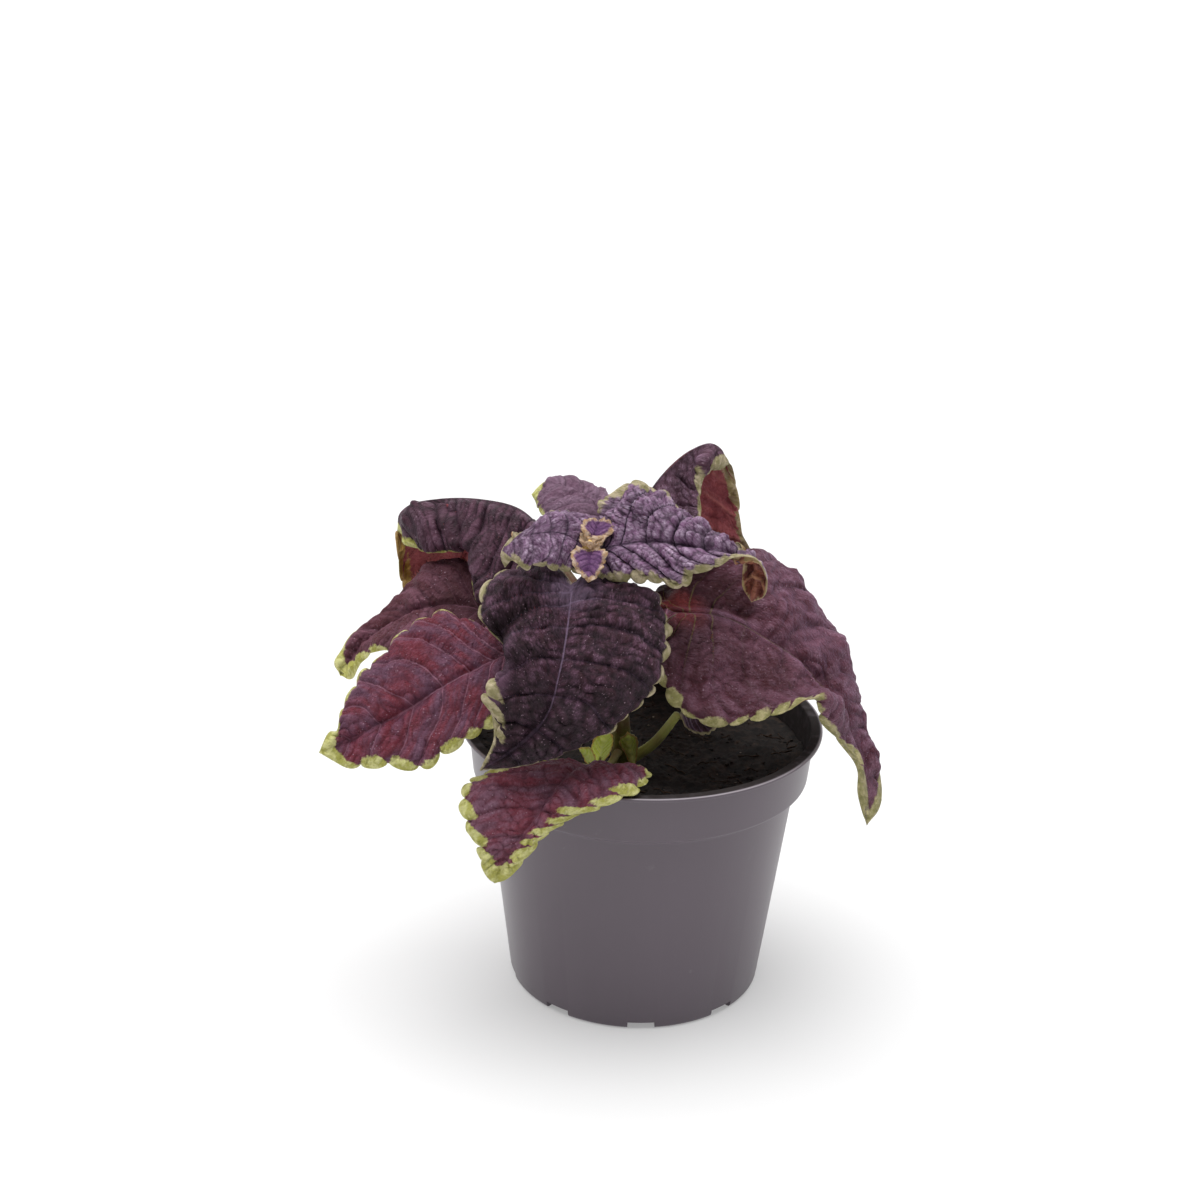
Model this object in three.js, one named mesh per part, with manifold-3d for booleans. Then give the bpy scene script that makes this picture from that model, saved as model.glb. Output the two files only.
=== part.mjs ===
// A young coleus in a 12 cm plastic grower's pot: pot, compost, stems, leaves and growing tip.
// Millimetres, +Z up. The origin is the middle of the pot's base, which stands on Z = 0.
import * as THREE from 'three';
import { mergeVertices } from 'three/addons/utils/BufferGeometryUtils.js';
import Module from 'manifold-3d';

const wasm = await Module();
wasm.setup();

// ---- driving dimensions -------------------------------------------------------------------

const GAP = 0.3; // clearance between pieces that touch

// Pot
const LIP_RADIUS = 60;
const POT_HEIGHT = 92.7;
const LIP_THICKNESS = 1.1;
const BAND_TOP_RADIUS = 57.5;
const BAND_BOTTOM_RADIUS = 55.9;
const BAND_BOTTOM = 75.8;
const BODY_TOP_RADIUS = 51.9;
const BODY_TOP = 73.8;
const FOOT_RADIUS = 42.6;
const WALL = 1.3;
const FLOOR = 4;
const POT_SEGMENTS = 63;

// Drainage pockets round the foot
const POCKETS = 9;
const POCKET_WIDTH = 9;
const POCKET_HEIGHT = 2.5;
const POCKET_INNER_RADIUS = 33;
const FIRST_POCKET = -87; // degrees round the axis from +X
const DRAIN_RADIUS = 1.8;

// Compost
const COMPOST_TOP = 82;

// Leaves
const BLADE_THICKNESS = 0.8;
const TOOTH = 0.9; // height of the round teeth along the margin
const LARGE_GRID = { rows: 16, columns: 3, tooth: TOOTH };
const SMALL_GRID = { rows: 6, columns: 2, tooth: 0 };
const SMALL_CAMBER = 0.12;

// Stalks
const STEM_SIDES = 10;
const STEM_STEPS = 12;
const STALK_SIDES = 6;
const STALK_STEPS = 10;
const STEM_BASE_RADIUS = 3.3;
const STEM_TOP_RADIUS = 1.4;
const STALK_RADIUS = 1.5; // a leaf stalk where it leaves the stem
const STALK_END_RADIUS = 0.5; // where it fades out under the blade
const SHOOT_RADIUS = 1.7;
const SHOOT_END_RADIUS = 1;
const SHOOT_STEPS = 6;

// Main stem, from the compost to the growing tip
const STEM_ROUTE = [
  [-6, -13, COMPOST_TOP + 2 * GAP],
  [-7.5, -15, 100],
  [-11, -19, 122],
  [-14, -22.5, 142],
  [-17, -27, 162],
];

// Each large leaf is a blade between three lines: its midrib, from the top of the leaf stalk to
// the tip, and its right and left margins, seen from above with the tip ahead. node is the height
// at which its stalk leaves the main stem. camber is how far each half bulges up, as a part of
// its width. via, where given, leads the stalk round another leaf.
const LARGE_LEAVES = {
  leaf_front_dark: {
    node: 140,
    camber: 0.2,
    midrib: [
      [-23.5, -36, 153.5], [-24.5, -47, 143], [-26.5, -54, 131.5], [-30, -59, 119.5],
      [-39, -62, 110], [-50, -62, 102],
    ],
    right: [
      [-29.5, -28, 155.5], [-41, -27, 154], [-50.5, -32, 149], [-52, -38, 144],
      [-48.5, -45, 138], [-45, -51, 131], [-46.5, -56, 122], [-45.5, -59, 112.5],
    ],
    left: [
      [-17.5, -28, 154], [-7.5, -28, 151.5], [2, -32, 147.5], [6.5, -38, 141.5], [6, -44, 134],
      [2, -50, 125], [-6, -55, 117.5], [-17, -59, 111], [-33, -62, 105],
    ],
  },
  leaf_left_red: {
    tone: 'red',
    node: 112,
    camber: 0.16,
    midrib: [
      [-41, -34, 129.5], [-52, -38, 125.5], [-63.5, -42, 120], [-75, -45, 113],
      [-87, -47, 106.5], [-100.5, -48, 100],
    ],
    right: [
      [-46.5, -27, 133.5], [-53.5, -23, 135], [-62, -21, 136.5], [-71, -24, 136],
      [-78.5, -29, 130.5], [-85.5, -34, 123], [-91.5, -39, 117], [-96, -44, 110],
    ],
    left: [
      [-38, -42, 123], [-43, -47, 113.5], [-50.5, -50, 108.5], [-59.5, -52, 104],
      [-68.5, -54, 98], [-79.5, -53, 98.5], [-90.5, -51, 96.5],
    ],
  },
  leaf_left_low: {
    node: 122,
    camber: 0.18,
    midrib: [
      [-47, -15, 134.5], [-61, -11, 135.5], [-74.5, -8, 132], [-85, -8, 125.5],
      [-93.5, -10, 119.5], [-100.5, -13, 111],
    ],
    right: [
      [-50.5, -2, 141], [-60, 4, 146], [-69, 5, 144.5], [-78.5, 3, 135], [-85, 0, 126.5],
      [-95, -5, 122], [-99.5, -9, 117.5],
    ],
    left: [
      [-45.5, -22, 128.5], [-51.5, -27, 123], [-63, -29, 120], [-74.5, -26, 122],
      [-83, -20, 123.5], [-90.5, -16, 118.5], [-95.5, -14, 114],
    ],
  },
  leaf_left_high: {
    node: 140,
    camber: 0.3,
    midrib: [
      [-32, -2, 157], [-41.5, 4, 163.5], [-54.5, 10, 164.5], [-68, 14, 163], [-78, 16, 160],
      [-81.5, 13, 156.5], [-76.5, 7, 149.5],
    ],
    right: [
      [-35, 10, 154.5], [-40, 16, 138.5], [-52, 20, 126], [-65.5, 20, 123.5], [-77, 18, 125],
      [-81, 17, 131.5], [-82, 15, 142], [-82.5, 14, 151.5],
    ],
    left: [
      [-38, -14, 146], [-45, -19, 137.5], [-53, -18, 138.5], [-55.5, -14, 144],
      [-53.5, -8, 150], [-57.5, -3, 151], [-65.5, 0, 149.5], [-72, 4, 149],
    ],
  },
  leaf_back_left: {
    node: 150,
    camber: 0.2,
    midrib: [
      [-14.5, -10, 161], [-17.5, 3, 166.5], [-24, 9, 169.5], [-31.5, 12, 170], [-36, 10, 167],
    ],
    right: [
      [-8.5, 8, 163.5], [-14, 18, 164], [-22.5, 23, 165], [-30.5, 21, 167], [-35.5, 15, 168.5],
    ],
    left: [[-18, -13, 159], [-26.5, -9, 160.5], [-33, -3, 164], [-35, 4, 165]],
  },
  leaf_top_left: {
    tone: 'young',
    node: 156,
    camber: 0.15,
    midrib: [
      [-21.5, -26, 162], [-27, -29, 167], [-35, -34, 168.5], [-42, -39, 167.5],
      [-45, -40, 164.5], [-44, -37, 158.5],
    ],
    right: [
      [-15.5, -16, 164], [-19.5, -14, 167], [-26, -17, 171], [-32, -24, 171], [-37, -30, 168],
      [-42, -36, 168],
    ],
    left: [
      [-19, -30, 157.5], [-24, -33, 157], [-28.5, -37, 158], [-33.5, -40, 158.5],
      [-38, -41, 159.5], [-41.5, -41, 162],
    ],
  },
  leaf_top_right: {
    tone: 'young',
    node: 156,
    camber: 0.15,
    midrib: [
      [-13, -26, 162], [-1.5, -29, 165.5], [9, -34, 166.5], [18, -39, 167], [26.5, -43, 167],
      [31.5, -43.5, 164.5], [32, -42.5, 158], [31, -41.5, 151],
    ],
    right: [
      [-11.5, -31, 155], [-5, -35, 154.5], [2.5, -38, 155], [10, -41, 154.5],
      [13, -42, 159.5], [19, -43, 162], [25, -45, 166.5], [31, -47, 167], [33.5, -46, 160],
      [33, -43.5, 153.5],
    ],
    left: [
      [-13, -16, 166], [-11.5, -12, 172.5], [-7, -12, 179], [-1, -14, 178.5],
      [6.5, -18, 174.5], [14, -26, 171.5], [20.5, -33, 168], [27, -39.5, 168],
      [29, -39.5, 162.5], [29.5, -40, 156],
    ],
  },
  leaf_back_right: {
    node: 138,
    camber: 0.25,
    midrib: [
      [-5, -6, 157], [-1, 4, 168], [6, 12, 176], [13.5, 17, 181], [20, 18.5, 182.8],
      [23.8, 16.5, 180.5], [22.8, 13.5, 175.5],
    ],
    right: [
      [-0, -8, 155], [9.5, -7, 156.5], [15.5, -1, 161], [16.5, 5, 168.5], [17.5, 11, 174.5],
      [19.5, 12.5, 175.5],
    ],
    left: [
      [-1.5, 6, 150.5], [11, 14, 142], [23.5, 19, 139], [34.5, 21, 143.5], [31.5, 21, 152.5],
      [30, 22, 163], [28.5, 22, 170], [26.5, 18.5, 176],
    ],
  },
  leaf_right_large: {
    tone: 'red',
    node: 122,
    camber: 0.18,
    midrib: [
      [10, -12, 135.5], [24.5, -10, 133.5], [38.5, -11, 127], [52, -13, 118],
      [62.5, -18, 106.5], [69, -23, 94.5], [72.5, -28, 82.5], [73, -30, 70.5],
    ],
    right: [
      [4, -24, 134], [3, -33, 126.5], [7, -38, 118], [14, -41, 112.5], [23.5, -42, 110],
      [33, -42, 113], [43, -40, 117], [52, -36, 118], [56.5, -32, 107.5], [62, -30, 100],
      [68.5, -29, 90.5], [70.5, -29, 81],
    ],
    left: [
      [1, -13, 138], [-1.5, -6, 140.5], [4, 2, 143.5], [14, 8, 146], [26.5, 12, 148.5],
      [39, 14, 146], [50, 13, 138.5],
      [59, 8, 129], [65.5, 2, 119], [68.5, -7, 106.5], [74, -15, 95.5], [78, -23, 84],
      [76.5, -28, 76],
    ],
  },
  leaf_front_low: {
    tone: 'red',
    node: 88,
    camber: 0.12,
    via: [[-10, -23, 87], [-13, -30, 89]],
    midrib: [
      [-16.5, -37, 93], [-23.5, -52, 96], [-30, -60, 90], [-37.5, -65, 80.5], [-42.5, -67, 72],
      [-45, -67, 65.5],
    ],
    right: [
      [-26, -37, 94], [-40, -43, 95], [-50.5, -48, 94.5], [-56, -53, 91], [-56, -57, 87],
      [-54, -61, 81.5], [-50, -64, 77], [-48.5, -66, 70.5],
    ],
    left: [
      [-8.5, -38.5, 92.5], [-1, -44.5, 95], [2, -50, 95.5], [-2.5, -58.5, 95],
      [-11, -63.5, 92], [-21.5, -65, 88], [-31, -66, 80.5], [-37.5, -67, 71],
    ],
  },
  leaf_back_low: {
    node: 112,
    camber: 0.15,
    midrib: [[5, 8, 119], [8, 22, 124], [8, 40, 120], [6, 54, 107], [4, 62, 92]],
    right: [[19, 12, 120], [29, 28, 119], [31, 44, 111], [21, 57, 100]],
    left: [[-8, 10, 122], [-17, 26, 121], [-19, 42, 113], [-11, 56, 102]],
  },
};

// Small leaves round the growing tip and on the young shoots, described in the same way.
const SMALL_LEAVES = {
  leaf_tip_upper: {
    midrib: [[-18, -31, 165], [-16.5, -27, 167.5], [-16, -23, 169.5]],
    right: [[-13, -26, 167], [-12.5, -23, 169]],
    left: [[-20.5, -28, 168], [-19, -24, 170]],
  },
  leaf_tip_lower: {
    midrib: [[-18.5, -31, 163], [-18.5, -36.5, 160.5], [-18.5, -39, 155]],
    right: [[-23, -35, 163], [-22.5, -38, 159.5], [-20.5, -39, 157]],
    left: [[-14.5, -34, 163.5], [-14.5, -37, 160], [-16, -39, 157]],
  },
  leaf_shoot_right: {
    midrib: [[11.5, -22, 104.5], [18, -27, 107.5], [25, -32, 108]],
    right: [[14, -28, 102], [20, -33, 103]],
    left: [[14.5, -14, 106], [20.5, -20, 109.5]],
  },
  leaf_green_small: {
    tone: 'green',
    midrib: [[-14, -19, 83.5], [-13, -19, 90.5], [-11.5, -18, 97.5]],
    right: [[-16.5, -16, 85.5], [-15.5, -18, 93.5]],
    left: [[-10.5, -16, 87.5], [-9.5, -17, 93]],
  },
  leaf_green_tiny: {
    tone: 'green',
    midrib: [[-16, -20, 83.5], [-18, -20, 88.5], [-21, -20, 91]],
    right: [[-18, -18, 85], [-20, -20, 89.5]],
    left: [[-15, -19, 86], [-17, -20, 91]],
  },
  leaf_sprout: {
    tone: 'green',
    midrib: [[-2.5, -20, 82.5], [-4, -21, 90.5], [-5, -22, 98]],
    right: [[-5.5, -21, 89.5], [-7.5, -22, 94.5]],
    left: [[-1.5, -20, 90.5], [-2, -21, 95.5]],
  },
};

// Young side shoot, which carries a small leaf under the large right leaf.
const SHOOT_ROUTE = [
  [-1.6, -14.4, 86],
  [4, -18, 92.5],
  [10.9, -21.8, 104.3],
];

// Growing tip
const BUD_CENTRE = [-17.8, -29.6, 163];
const BUD_RADII = [1.1, 1.1, 1.2];

// ---- helpers ------------------------------------------------------------------------------

const toVector = ([x, y, z]) => new THREE.Vector3(x, y, z);
const curveThrough = (route) => new THREE.CatmullRomCurve3(route, false, 'centripetal');
const smoothCurve = (points) => curveThrough(points.map(toVector));
const radians = THREE.MathUtils.degToRad;

function geometryOf(points, triangles) {
  const geometry = new THREE.BufferGeometry();
  const coordinates = points.flatMap((p) => p.toArray());
  geometry.setAttribute('position', new THREE.Float32BufferAttribute(coordinates, 3));
  geometry.setIndex(triangles.flat());
  return geometry;
}

function solidOf(geometry) {
  const bare = geometry.clone();
  bare.deleteAttribute('normal');
  bare.deleteAttribute('uv');
  const merged = mergeVertices(bare, 1e-4);
  return new wasm.Manifold(
    new wasm.Mesh({
      numProp: 3,
      vertProperties: new Float32Array(merged.attributes.position.array),
      triVerts: new Uint32Array(merged.index.array),
    }),
  );
}

function geometryFrom(solid) {
  const mesh = solid.getMesh();
  const geometry = new THREE.BufferGeometry();
  geometry.setAttribute('position', new THREE.BufferAttribute(mesh.vertProperties, 3));
  geometry.setIndex(new THREE.BufferAttribute(mesh.triVerts, 1));
  return geometry;
}

// A closed round tube through a route, its radius running from one end's to the other's.
function taperedTube(route, startRadius, endRadius, steps, sides) {
  const curve = curveThrough(route);
  const frames = curve.computeFrenetFrames(steps, false);
  const points = [];
  const triangles = [];
  for (let i = 0; i <= steps; i++) {
    const centre = curve.getPointAt(i / steps);
    const radius = THREE.MathUtils.lerp(startRadius, endRadius, i / steps);
    for (let j = 0; j < sides; j++) {
      const angle = (2 * Math.PI * j) / sides;
      const across = frames.normals[i].clone().multiplyScalar(Math.cos(angle) * radius);
      const up = frames.binormals[i].clone().multiplyScalar(Math.sin(angle) * radius);
      points.push(centre.clone().add(across).add(up));
    }
  }
  for (let i = 0; i < steps; i++) {
    for (let j = 0; j < sides; j++) {
      const a = i * sides + j;
      const b = i * sides + ((j + 1) % sides);
      triangles.push([a, b, a + sides], [b, b + sides, a + sides]);
    }
  }
  const last = steps * sides;
  for (let j = 1; j < sides - 1; j++) {
    triangles.push([0, j + 1, j], [last, last + j, last + j + 1]);
  }
  return geometryOf(points, triangles);
}

// ---- leaf blades --------------------------------------------------------------------------

// The middle surface of a blade as rows of points from base to tip, each row running from the
// right margin over the midrib to the left margin. The first and last rows are single points.
function bladeRows(leaf, grid) {
  const base = leaf.midrib[0];
  const tip = leaf.midrib[leaf.midrib.length - 1];
  const midrib = smoothCurve(leaf.midrib);
  const margins = [leaf.right, leaf.left].map((side) => smoothCurve([base, ...side, tip]));
  const camber = leaf.camber ?? SMALL_CAMBER;
  const rows = [[toVector(base)]];
  for (let i = 1; i < grid.rows; i++) {
    const u = i / grid.rows;
    const middle = midrib.getPointAt(u);
    const [right, left] = margins.map((margin) => margin.getPointAt(u));
    const up = midrib.getTangentAt(u).cross(left.clone().sub(right)).normalize();
    const row = [];
    for (let j = -grid.columns; j <= grid.columns; j++) {
      const margin = j < 0 ? right : left;
      const t = Math.abs(j) / grid.columns;
      const half = margin.clone().sub(middle);
      const width = half.length();
      const outward = half.clone().normalize();
      const rise = up.clone().addScaledVector(outward, -up.dot(outward)).normalize();
      const tooth = t === 1 ? grid.tooth * (i % 2 ? 0.6 : -0.6) : 0;
      const point = middle.clone().addScaledVector(outward, t * width + tooth);
      row.push(point.addScaledVector(rise, 2 * camber * width * t * (1 - t)));
    }
    rows.push(row);
  }
  rows.push([toVector(tip)]);
  return rows;
}

// Triangles of the rows, facing up, and the index of each row's point.
function bladeFaces(rows) {
  const starts = rows.map((_, i) => rows.slice(0, i).reduce((sum, row) => sum + row.length, 0));
  const width = rows[1].length;
  const index = (i, j) => starts[i] + (rows[i].length === 1 ? 0 : j);
  const faces = [];
  for (let i = 0; i + 1 < rows.length; i++) {
    for (let j = 0; j + 1 < width; j++) {
      const [here, ahead] = [index(i, j), index(i + 1, j)];
      const [hereLeft, aheadLeft] = [index(i, j + 1), index(i + 1, j + 1)];
      if (rows[i].length > 1) faces.push([here, ahead, hereLeft]);
      if (rows[i + 1].length > 1) faces.push([ahead, aheadLeft, hereLeft]);
    }
  }
  const rightEdge = rows.map((_, i) => index(i, 0));
  const leftEdge = rows.map((_, i) => index(i, width - 1));
  return { faces, rightEdge, leftEdge };
}

// A blade of even thickness: the rows' surface shifted up and down along its normals, with walls
// along both margins.
function bladeGeometry(leaf, grid) {
  const rows = bladeRows(leaf, grid);
  const { faces, rightEdge, leftEdge } = bladeFaces(rows);
  const middle = rows.flat();
  const surface = geometryOf(middle, faces);
  surface.computeVertexNormals();
  const { normal } = surface.attributes;
  const normals = middle.map((_, i) => new THREE.Vector3().fromBufferAttribute(normal, i));
  const shifted = (amount) => middle.map((p, i) => p.clone().addScaledVector(normals[i], amount));
  const count = middle.length;
  const triangles = [...faces, ...faces.map(([a, b, c]) => [a + count, c + count, b + count])];
  for (let i = 0; i + 1 < rows.length; i++) {
    const [a, b] = [rightEdge[i], rightEdge[i + 1]];
    triangles.push([b, a, a + count], [b, a + count, b + count]);
    const [c, d] = [leftEdge[i], leftEdge[i + 1]];
    triangles.push([c, d, d + count], [c, d + count, c + count]);
  }
  const half = BLADE_THICKNESS / 2;
  return geometryOf([...shifted(half), ...shifted(-half)], triangles);
}

// ---- stem and leaf stalks -----------------------------------------------------------------

const stemCurve = smoothCurve(STEM_ROUTE);

// The stem's centre and radius at a height.
function stemAt(height) {
  let [low, high] = [0, 1];
  for (let i = 0; i < 30; i++) {
    const middle = (low + high) / 2;
    if (stemCurve.getPointAt(middle).z < height) low = middle;
    else high = middle;
  }
  return {
    centre: stemCurve.getPointAt(low),
    radius: THREE.MathUtils.lerp(STEM_BASE_RADIUS, STEM_TOP_RADIUS, low),
  };
}

// A leaf stalk leaves the stem square to it, rises to the blade and fades out under the midrib.
function stalkGeometry(leaf) {
  const { centre, radius } = stemAt(leaf.node);
  const junction = toVector(leaf.midrib[0]);
  const target = leaf.via ? toVector(leaf.via[0]) : junction;
  const away = target.clone().sub(centre).setZ(0).normalize();
  const start = centre.clone().addScaledVector(away, radius + 2 * GAP);
  const shoulder = start.clone().addScaledVector(away, STALK_RADIUS);
  const midrib = smoothCurve(leaf.midrib);
  const under = [0.12, 0.3, 0.5].map((u) => {
    const tangent = midrib.getTangentAt(u);
    const below = new THREE.Vector3(0, 0, -1);
    below.addScaledVector(tangent, -below.dot(tangent)).normalize();
    return midrib.getPointAt(u).addScaledVector(below, BLADE_THICKNESS / 2);
  });
  const route = [start, shoulder, ...(leaf.via ?? []).map(toVector), junction, ...under];
  return taperedTube(route, STALK_RADIUS, STALK_END_RADIUS, STALK_STEPS, STALK_SIDES);
}

function largeLeaf(leaf) {
  const blade = solidOf(bladeGeometry(leaf, LARGE_GRID));
  const stalk = solidOf(stalkGeometry(leaf));
  return geometryFrom(blade.add(stalk));
}

// ---- pot and compost ----------------------------------------------------------------------

const lathe = (profile, segments) =>
  new THREE.LatheGeometry(profile.map(([r, z]) => new THREE.Vector2(r, z)), segments).rotateX(Math.PI / 2);

// The pot's outer wall, body then collar, as [height, radius] from the foot to under the lip.
const OUTER_WALL = [
  [0, FOOT_RADIUS],
  [BODY_TOP, BODY_TOP_RADIUS],
  [BAND_BOTTOM, BAND_BOTTOM_RADIUS],
  [POT_HEIGHT, BAND_TOP_RADIUS],
];

// Radius of the inner wall at a height.
function innerRadius(height) {
  const above = Math.max(1, OUTER_WALL.findIndex(([top]) => height <= top));
  const [[low, lowRadius], [high, highRadius]] = [OUTER_WALL[above - 1], OUTER_WALL[above]];
  return THREE.MathUtils.mapLinear(height, low, high, lowRadius, highRadius) - WALL;
}

function potGeometry() {
  const lipBottom = POT_HEIGHT - LIP_THICKNESS;
  const profile = [
    [0, 0],
    [FOOT_RADIUS, 0],
    [BODY_TOP_RADIUS, BODY_TOP],
    [BAND_BOTTOM_RADIUS, BAND_BOTTOM],
    [BAND_TOP_RADIUS, lipBottom],
    [LIP_RADIUS, lipBottom],
    [LIP_RADIUS, POT_HEIGHT],
    [innerRadius(POT_HEIGHT), POT_HEIGHT],
    [innerRadius(BAND_BOTTOM), BAND_BOTTOM],
    [innerRadius(BODY_TOP), BODY_TOP],
    [innerRadius(FLOOR), FLOOR],
    [0, FLOOR],
  ];
  let pot = solidOf(lathe(profile, POT_SEGMENTS));
  const reach = FOOT_RADIUS + WALL - POCKET_INNER_RADIUS;
  const pocket = new THREE.BoxGeometry(reach, POCKET_WIDTH, 2 * POCKET_HEIGHT);
  pocket.translate(POCKET_INNER_RADIUS + reach / 2, 0, 0);
  const drain = new THREE.CylinderGeometry(DRAIN_RADIUS, DRAIN_RADIUS, 3 * FLOOR, 16);
  drain.rotateX(Math.PI / 2).translate(POCKET_INNER_RADIUS + 2 * DRAIN_RADIUS, 0, 0);
  for (let i = 0; i < POCKETS; i++) {
    const angle = radians(FIRST_POCKET + (360 * i) / POCKETS);
    pot = pot.subtract(solidOf(pocket.clone().rotateZ(angle)));
    pot = pot.subtract(solidOf(drain.clone().rotateZ(angle)));
  }
  return geometryFrom(pot);
}

function compostGeometry() {
  const bottom = FLOOR + GAP;
  const profile = [
    [0, bottom],
    [innerRadius(bottom) - GAP, bottom],
    [innerRadius(BODY_TOP) - GAP, BODY_TOP],
    [innerRadius(BAND_BOTTOM) - GAP, BAND_BOTTOM + GAP],
    [innerRadius(COMPOST_TOP) - GAP, COMPOST_TOP],
    [0, COMPOST_TOP],
  ];
  return lathe(profile, POT_SEGMENTS);
}

// ---- assembly -----------------------------------------------------------------------------

const colours = {
  pot: new THREE.MeshStandardMaterial({ color: 0x625c61, roughness: 0.55 }),
  compost: new THREE.MeshStandardMaterial({ color: 0x1d1916, roughness: 1 }),
  stem: new THREE.MeshStandardMaterial({ color: 0x646e32, roughness: 0.6 }),
  leaf: new THREE.MeshStandardMaterial({ color: 0x4a2a3c, roughness: 0.6 }),
  redLeaf: new THREE.MeshStandardMaterial({ color: 0x6e3241, roughness: 0.55 }),
  youngLeaf: new THREE.MeshStandardMaterial({ color: 0x5f3e73, roughness: 0.65 }),
  greenLeaf: new THREE.MeshStandardMaterial({ color: 0x8fa03c, roughness: 0.6 }),
  bud: new THREE.MeshStandardMaterial({ color: 0xb89a4e, roughness: 0.6 }),
};

const plant = new THREE.Group();

function place(name, geometry, material) {
  const bare = geometry.clone();
  bare.deleteAttribute('normal');
  bare.deleteAttribute('uv');
  const mesh = new THREE.Mesh(mergeVertices(bare, 1e-4), material);
  mesh.name = name;
  plant.add(mesh);
}

place('pot', potGeometry(), colours.pot);
place('compost', compostGeometry(), colours.compost);

const stemRoute = STEM_ROUTE.map(toVector);
const stem = taperedTube(stemRoute, STEM_BASE_RADIUS, STEM_TOP_RADIUS, STEM_STEPS, STEM_SIDES);
place('stem_main', stem, colours.stem);

for (const [name, leaf] of Object.entries(LARGE_LEAVES)) {
  const finish = { red: colours.redLeaf, young: colours.youngLeaf }[leaf.tone] ?? colours.leaf;
  place(name, largeLeaf(leaf), finish);
}

for (const [name, leaf] of Object.entries(SMALL_LEAVES)) {
  const finish = leaf.tone === 'green' ? colours.greenLeaf : colours.youngLeaf;
  place(name, bladeGeometry(leaf, SMALL_GRID), finish);
}

const bud = new THREE.SphereGeometry(1, 12, 8).scale(...BUD_RADII).translate(...BUD_CENTRE);
place('growing_tip', bud, colours.bud);

const shootRoute = SHOOT_ROUTE.map(toVector);
const shoot = taperedTube(shootRoute, SHOOT_RADIUS, SHOOT_END_RADIUS, SHOOT_STEPS, STALK_SIDES);
place('stem_shoot', shoot, colours.stem);

export default plant;
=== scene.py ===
"""A young coleus in a 12 cm plastic grower's pot: its looks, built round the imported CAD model.

Lengths are in millimetres up to the point where a mesh is made, and MM turns them into metres.
"""

import math

import bmesh
import bpy
import numpy as np
from mathutils import Euler, Matrix


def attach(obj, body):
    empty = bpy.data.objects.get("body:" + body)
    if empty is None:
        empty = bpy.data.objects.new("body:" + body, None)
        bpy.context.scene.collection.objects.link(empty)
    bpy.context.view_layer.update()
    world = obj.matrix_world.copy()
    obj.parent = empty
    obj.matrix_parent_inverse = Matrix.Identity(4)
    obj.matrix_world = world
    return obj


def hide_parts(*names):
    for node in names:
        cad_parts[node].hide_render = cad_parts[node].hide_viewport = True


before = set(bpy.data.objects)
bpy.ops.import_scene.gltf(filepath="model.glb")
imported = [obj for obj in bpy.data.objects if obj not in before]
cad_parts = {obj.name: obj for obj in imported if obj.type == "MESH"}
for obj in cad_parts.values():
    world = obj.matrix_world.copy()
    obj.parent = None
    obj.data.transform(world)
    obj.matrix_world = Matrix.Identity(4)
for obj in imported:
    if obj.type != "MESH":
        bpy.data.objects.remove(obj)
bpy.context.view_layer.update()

MM = 0.001


# ---- leaf blades, close to the lines of the CAD model -------------------------------------------
# Each blade lies between three lines: its midrib, from the top of the leaf stalk to the tip,
# and its right and left margins, seen from above with the tip ahead. node is the height at
# which its stalk leaves the main stem. camber is how far each half bulges up, as a part of its
# width. via leads a stalk round another leaf.

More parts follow.
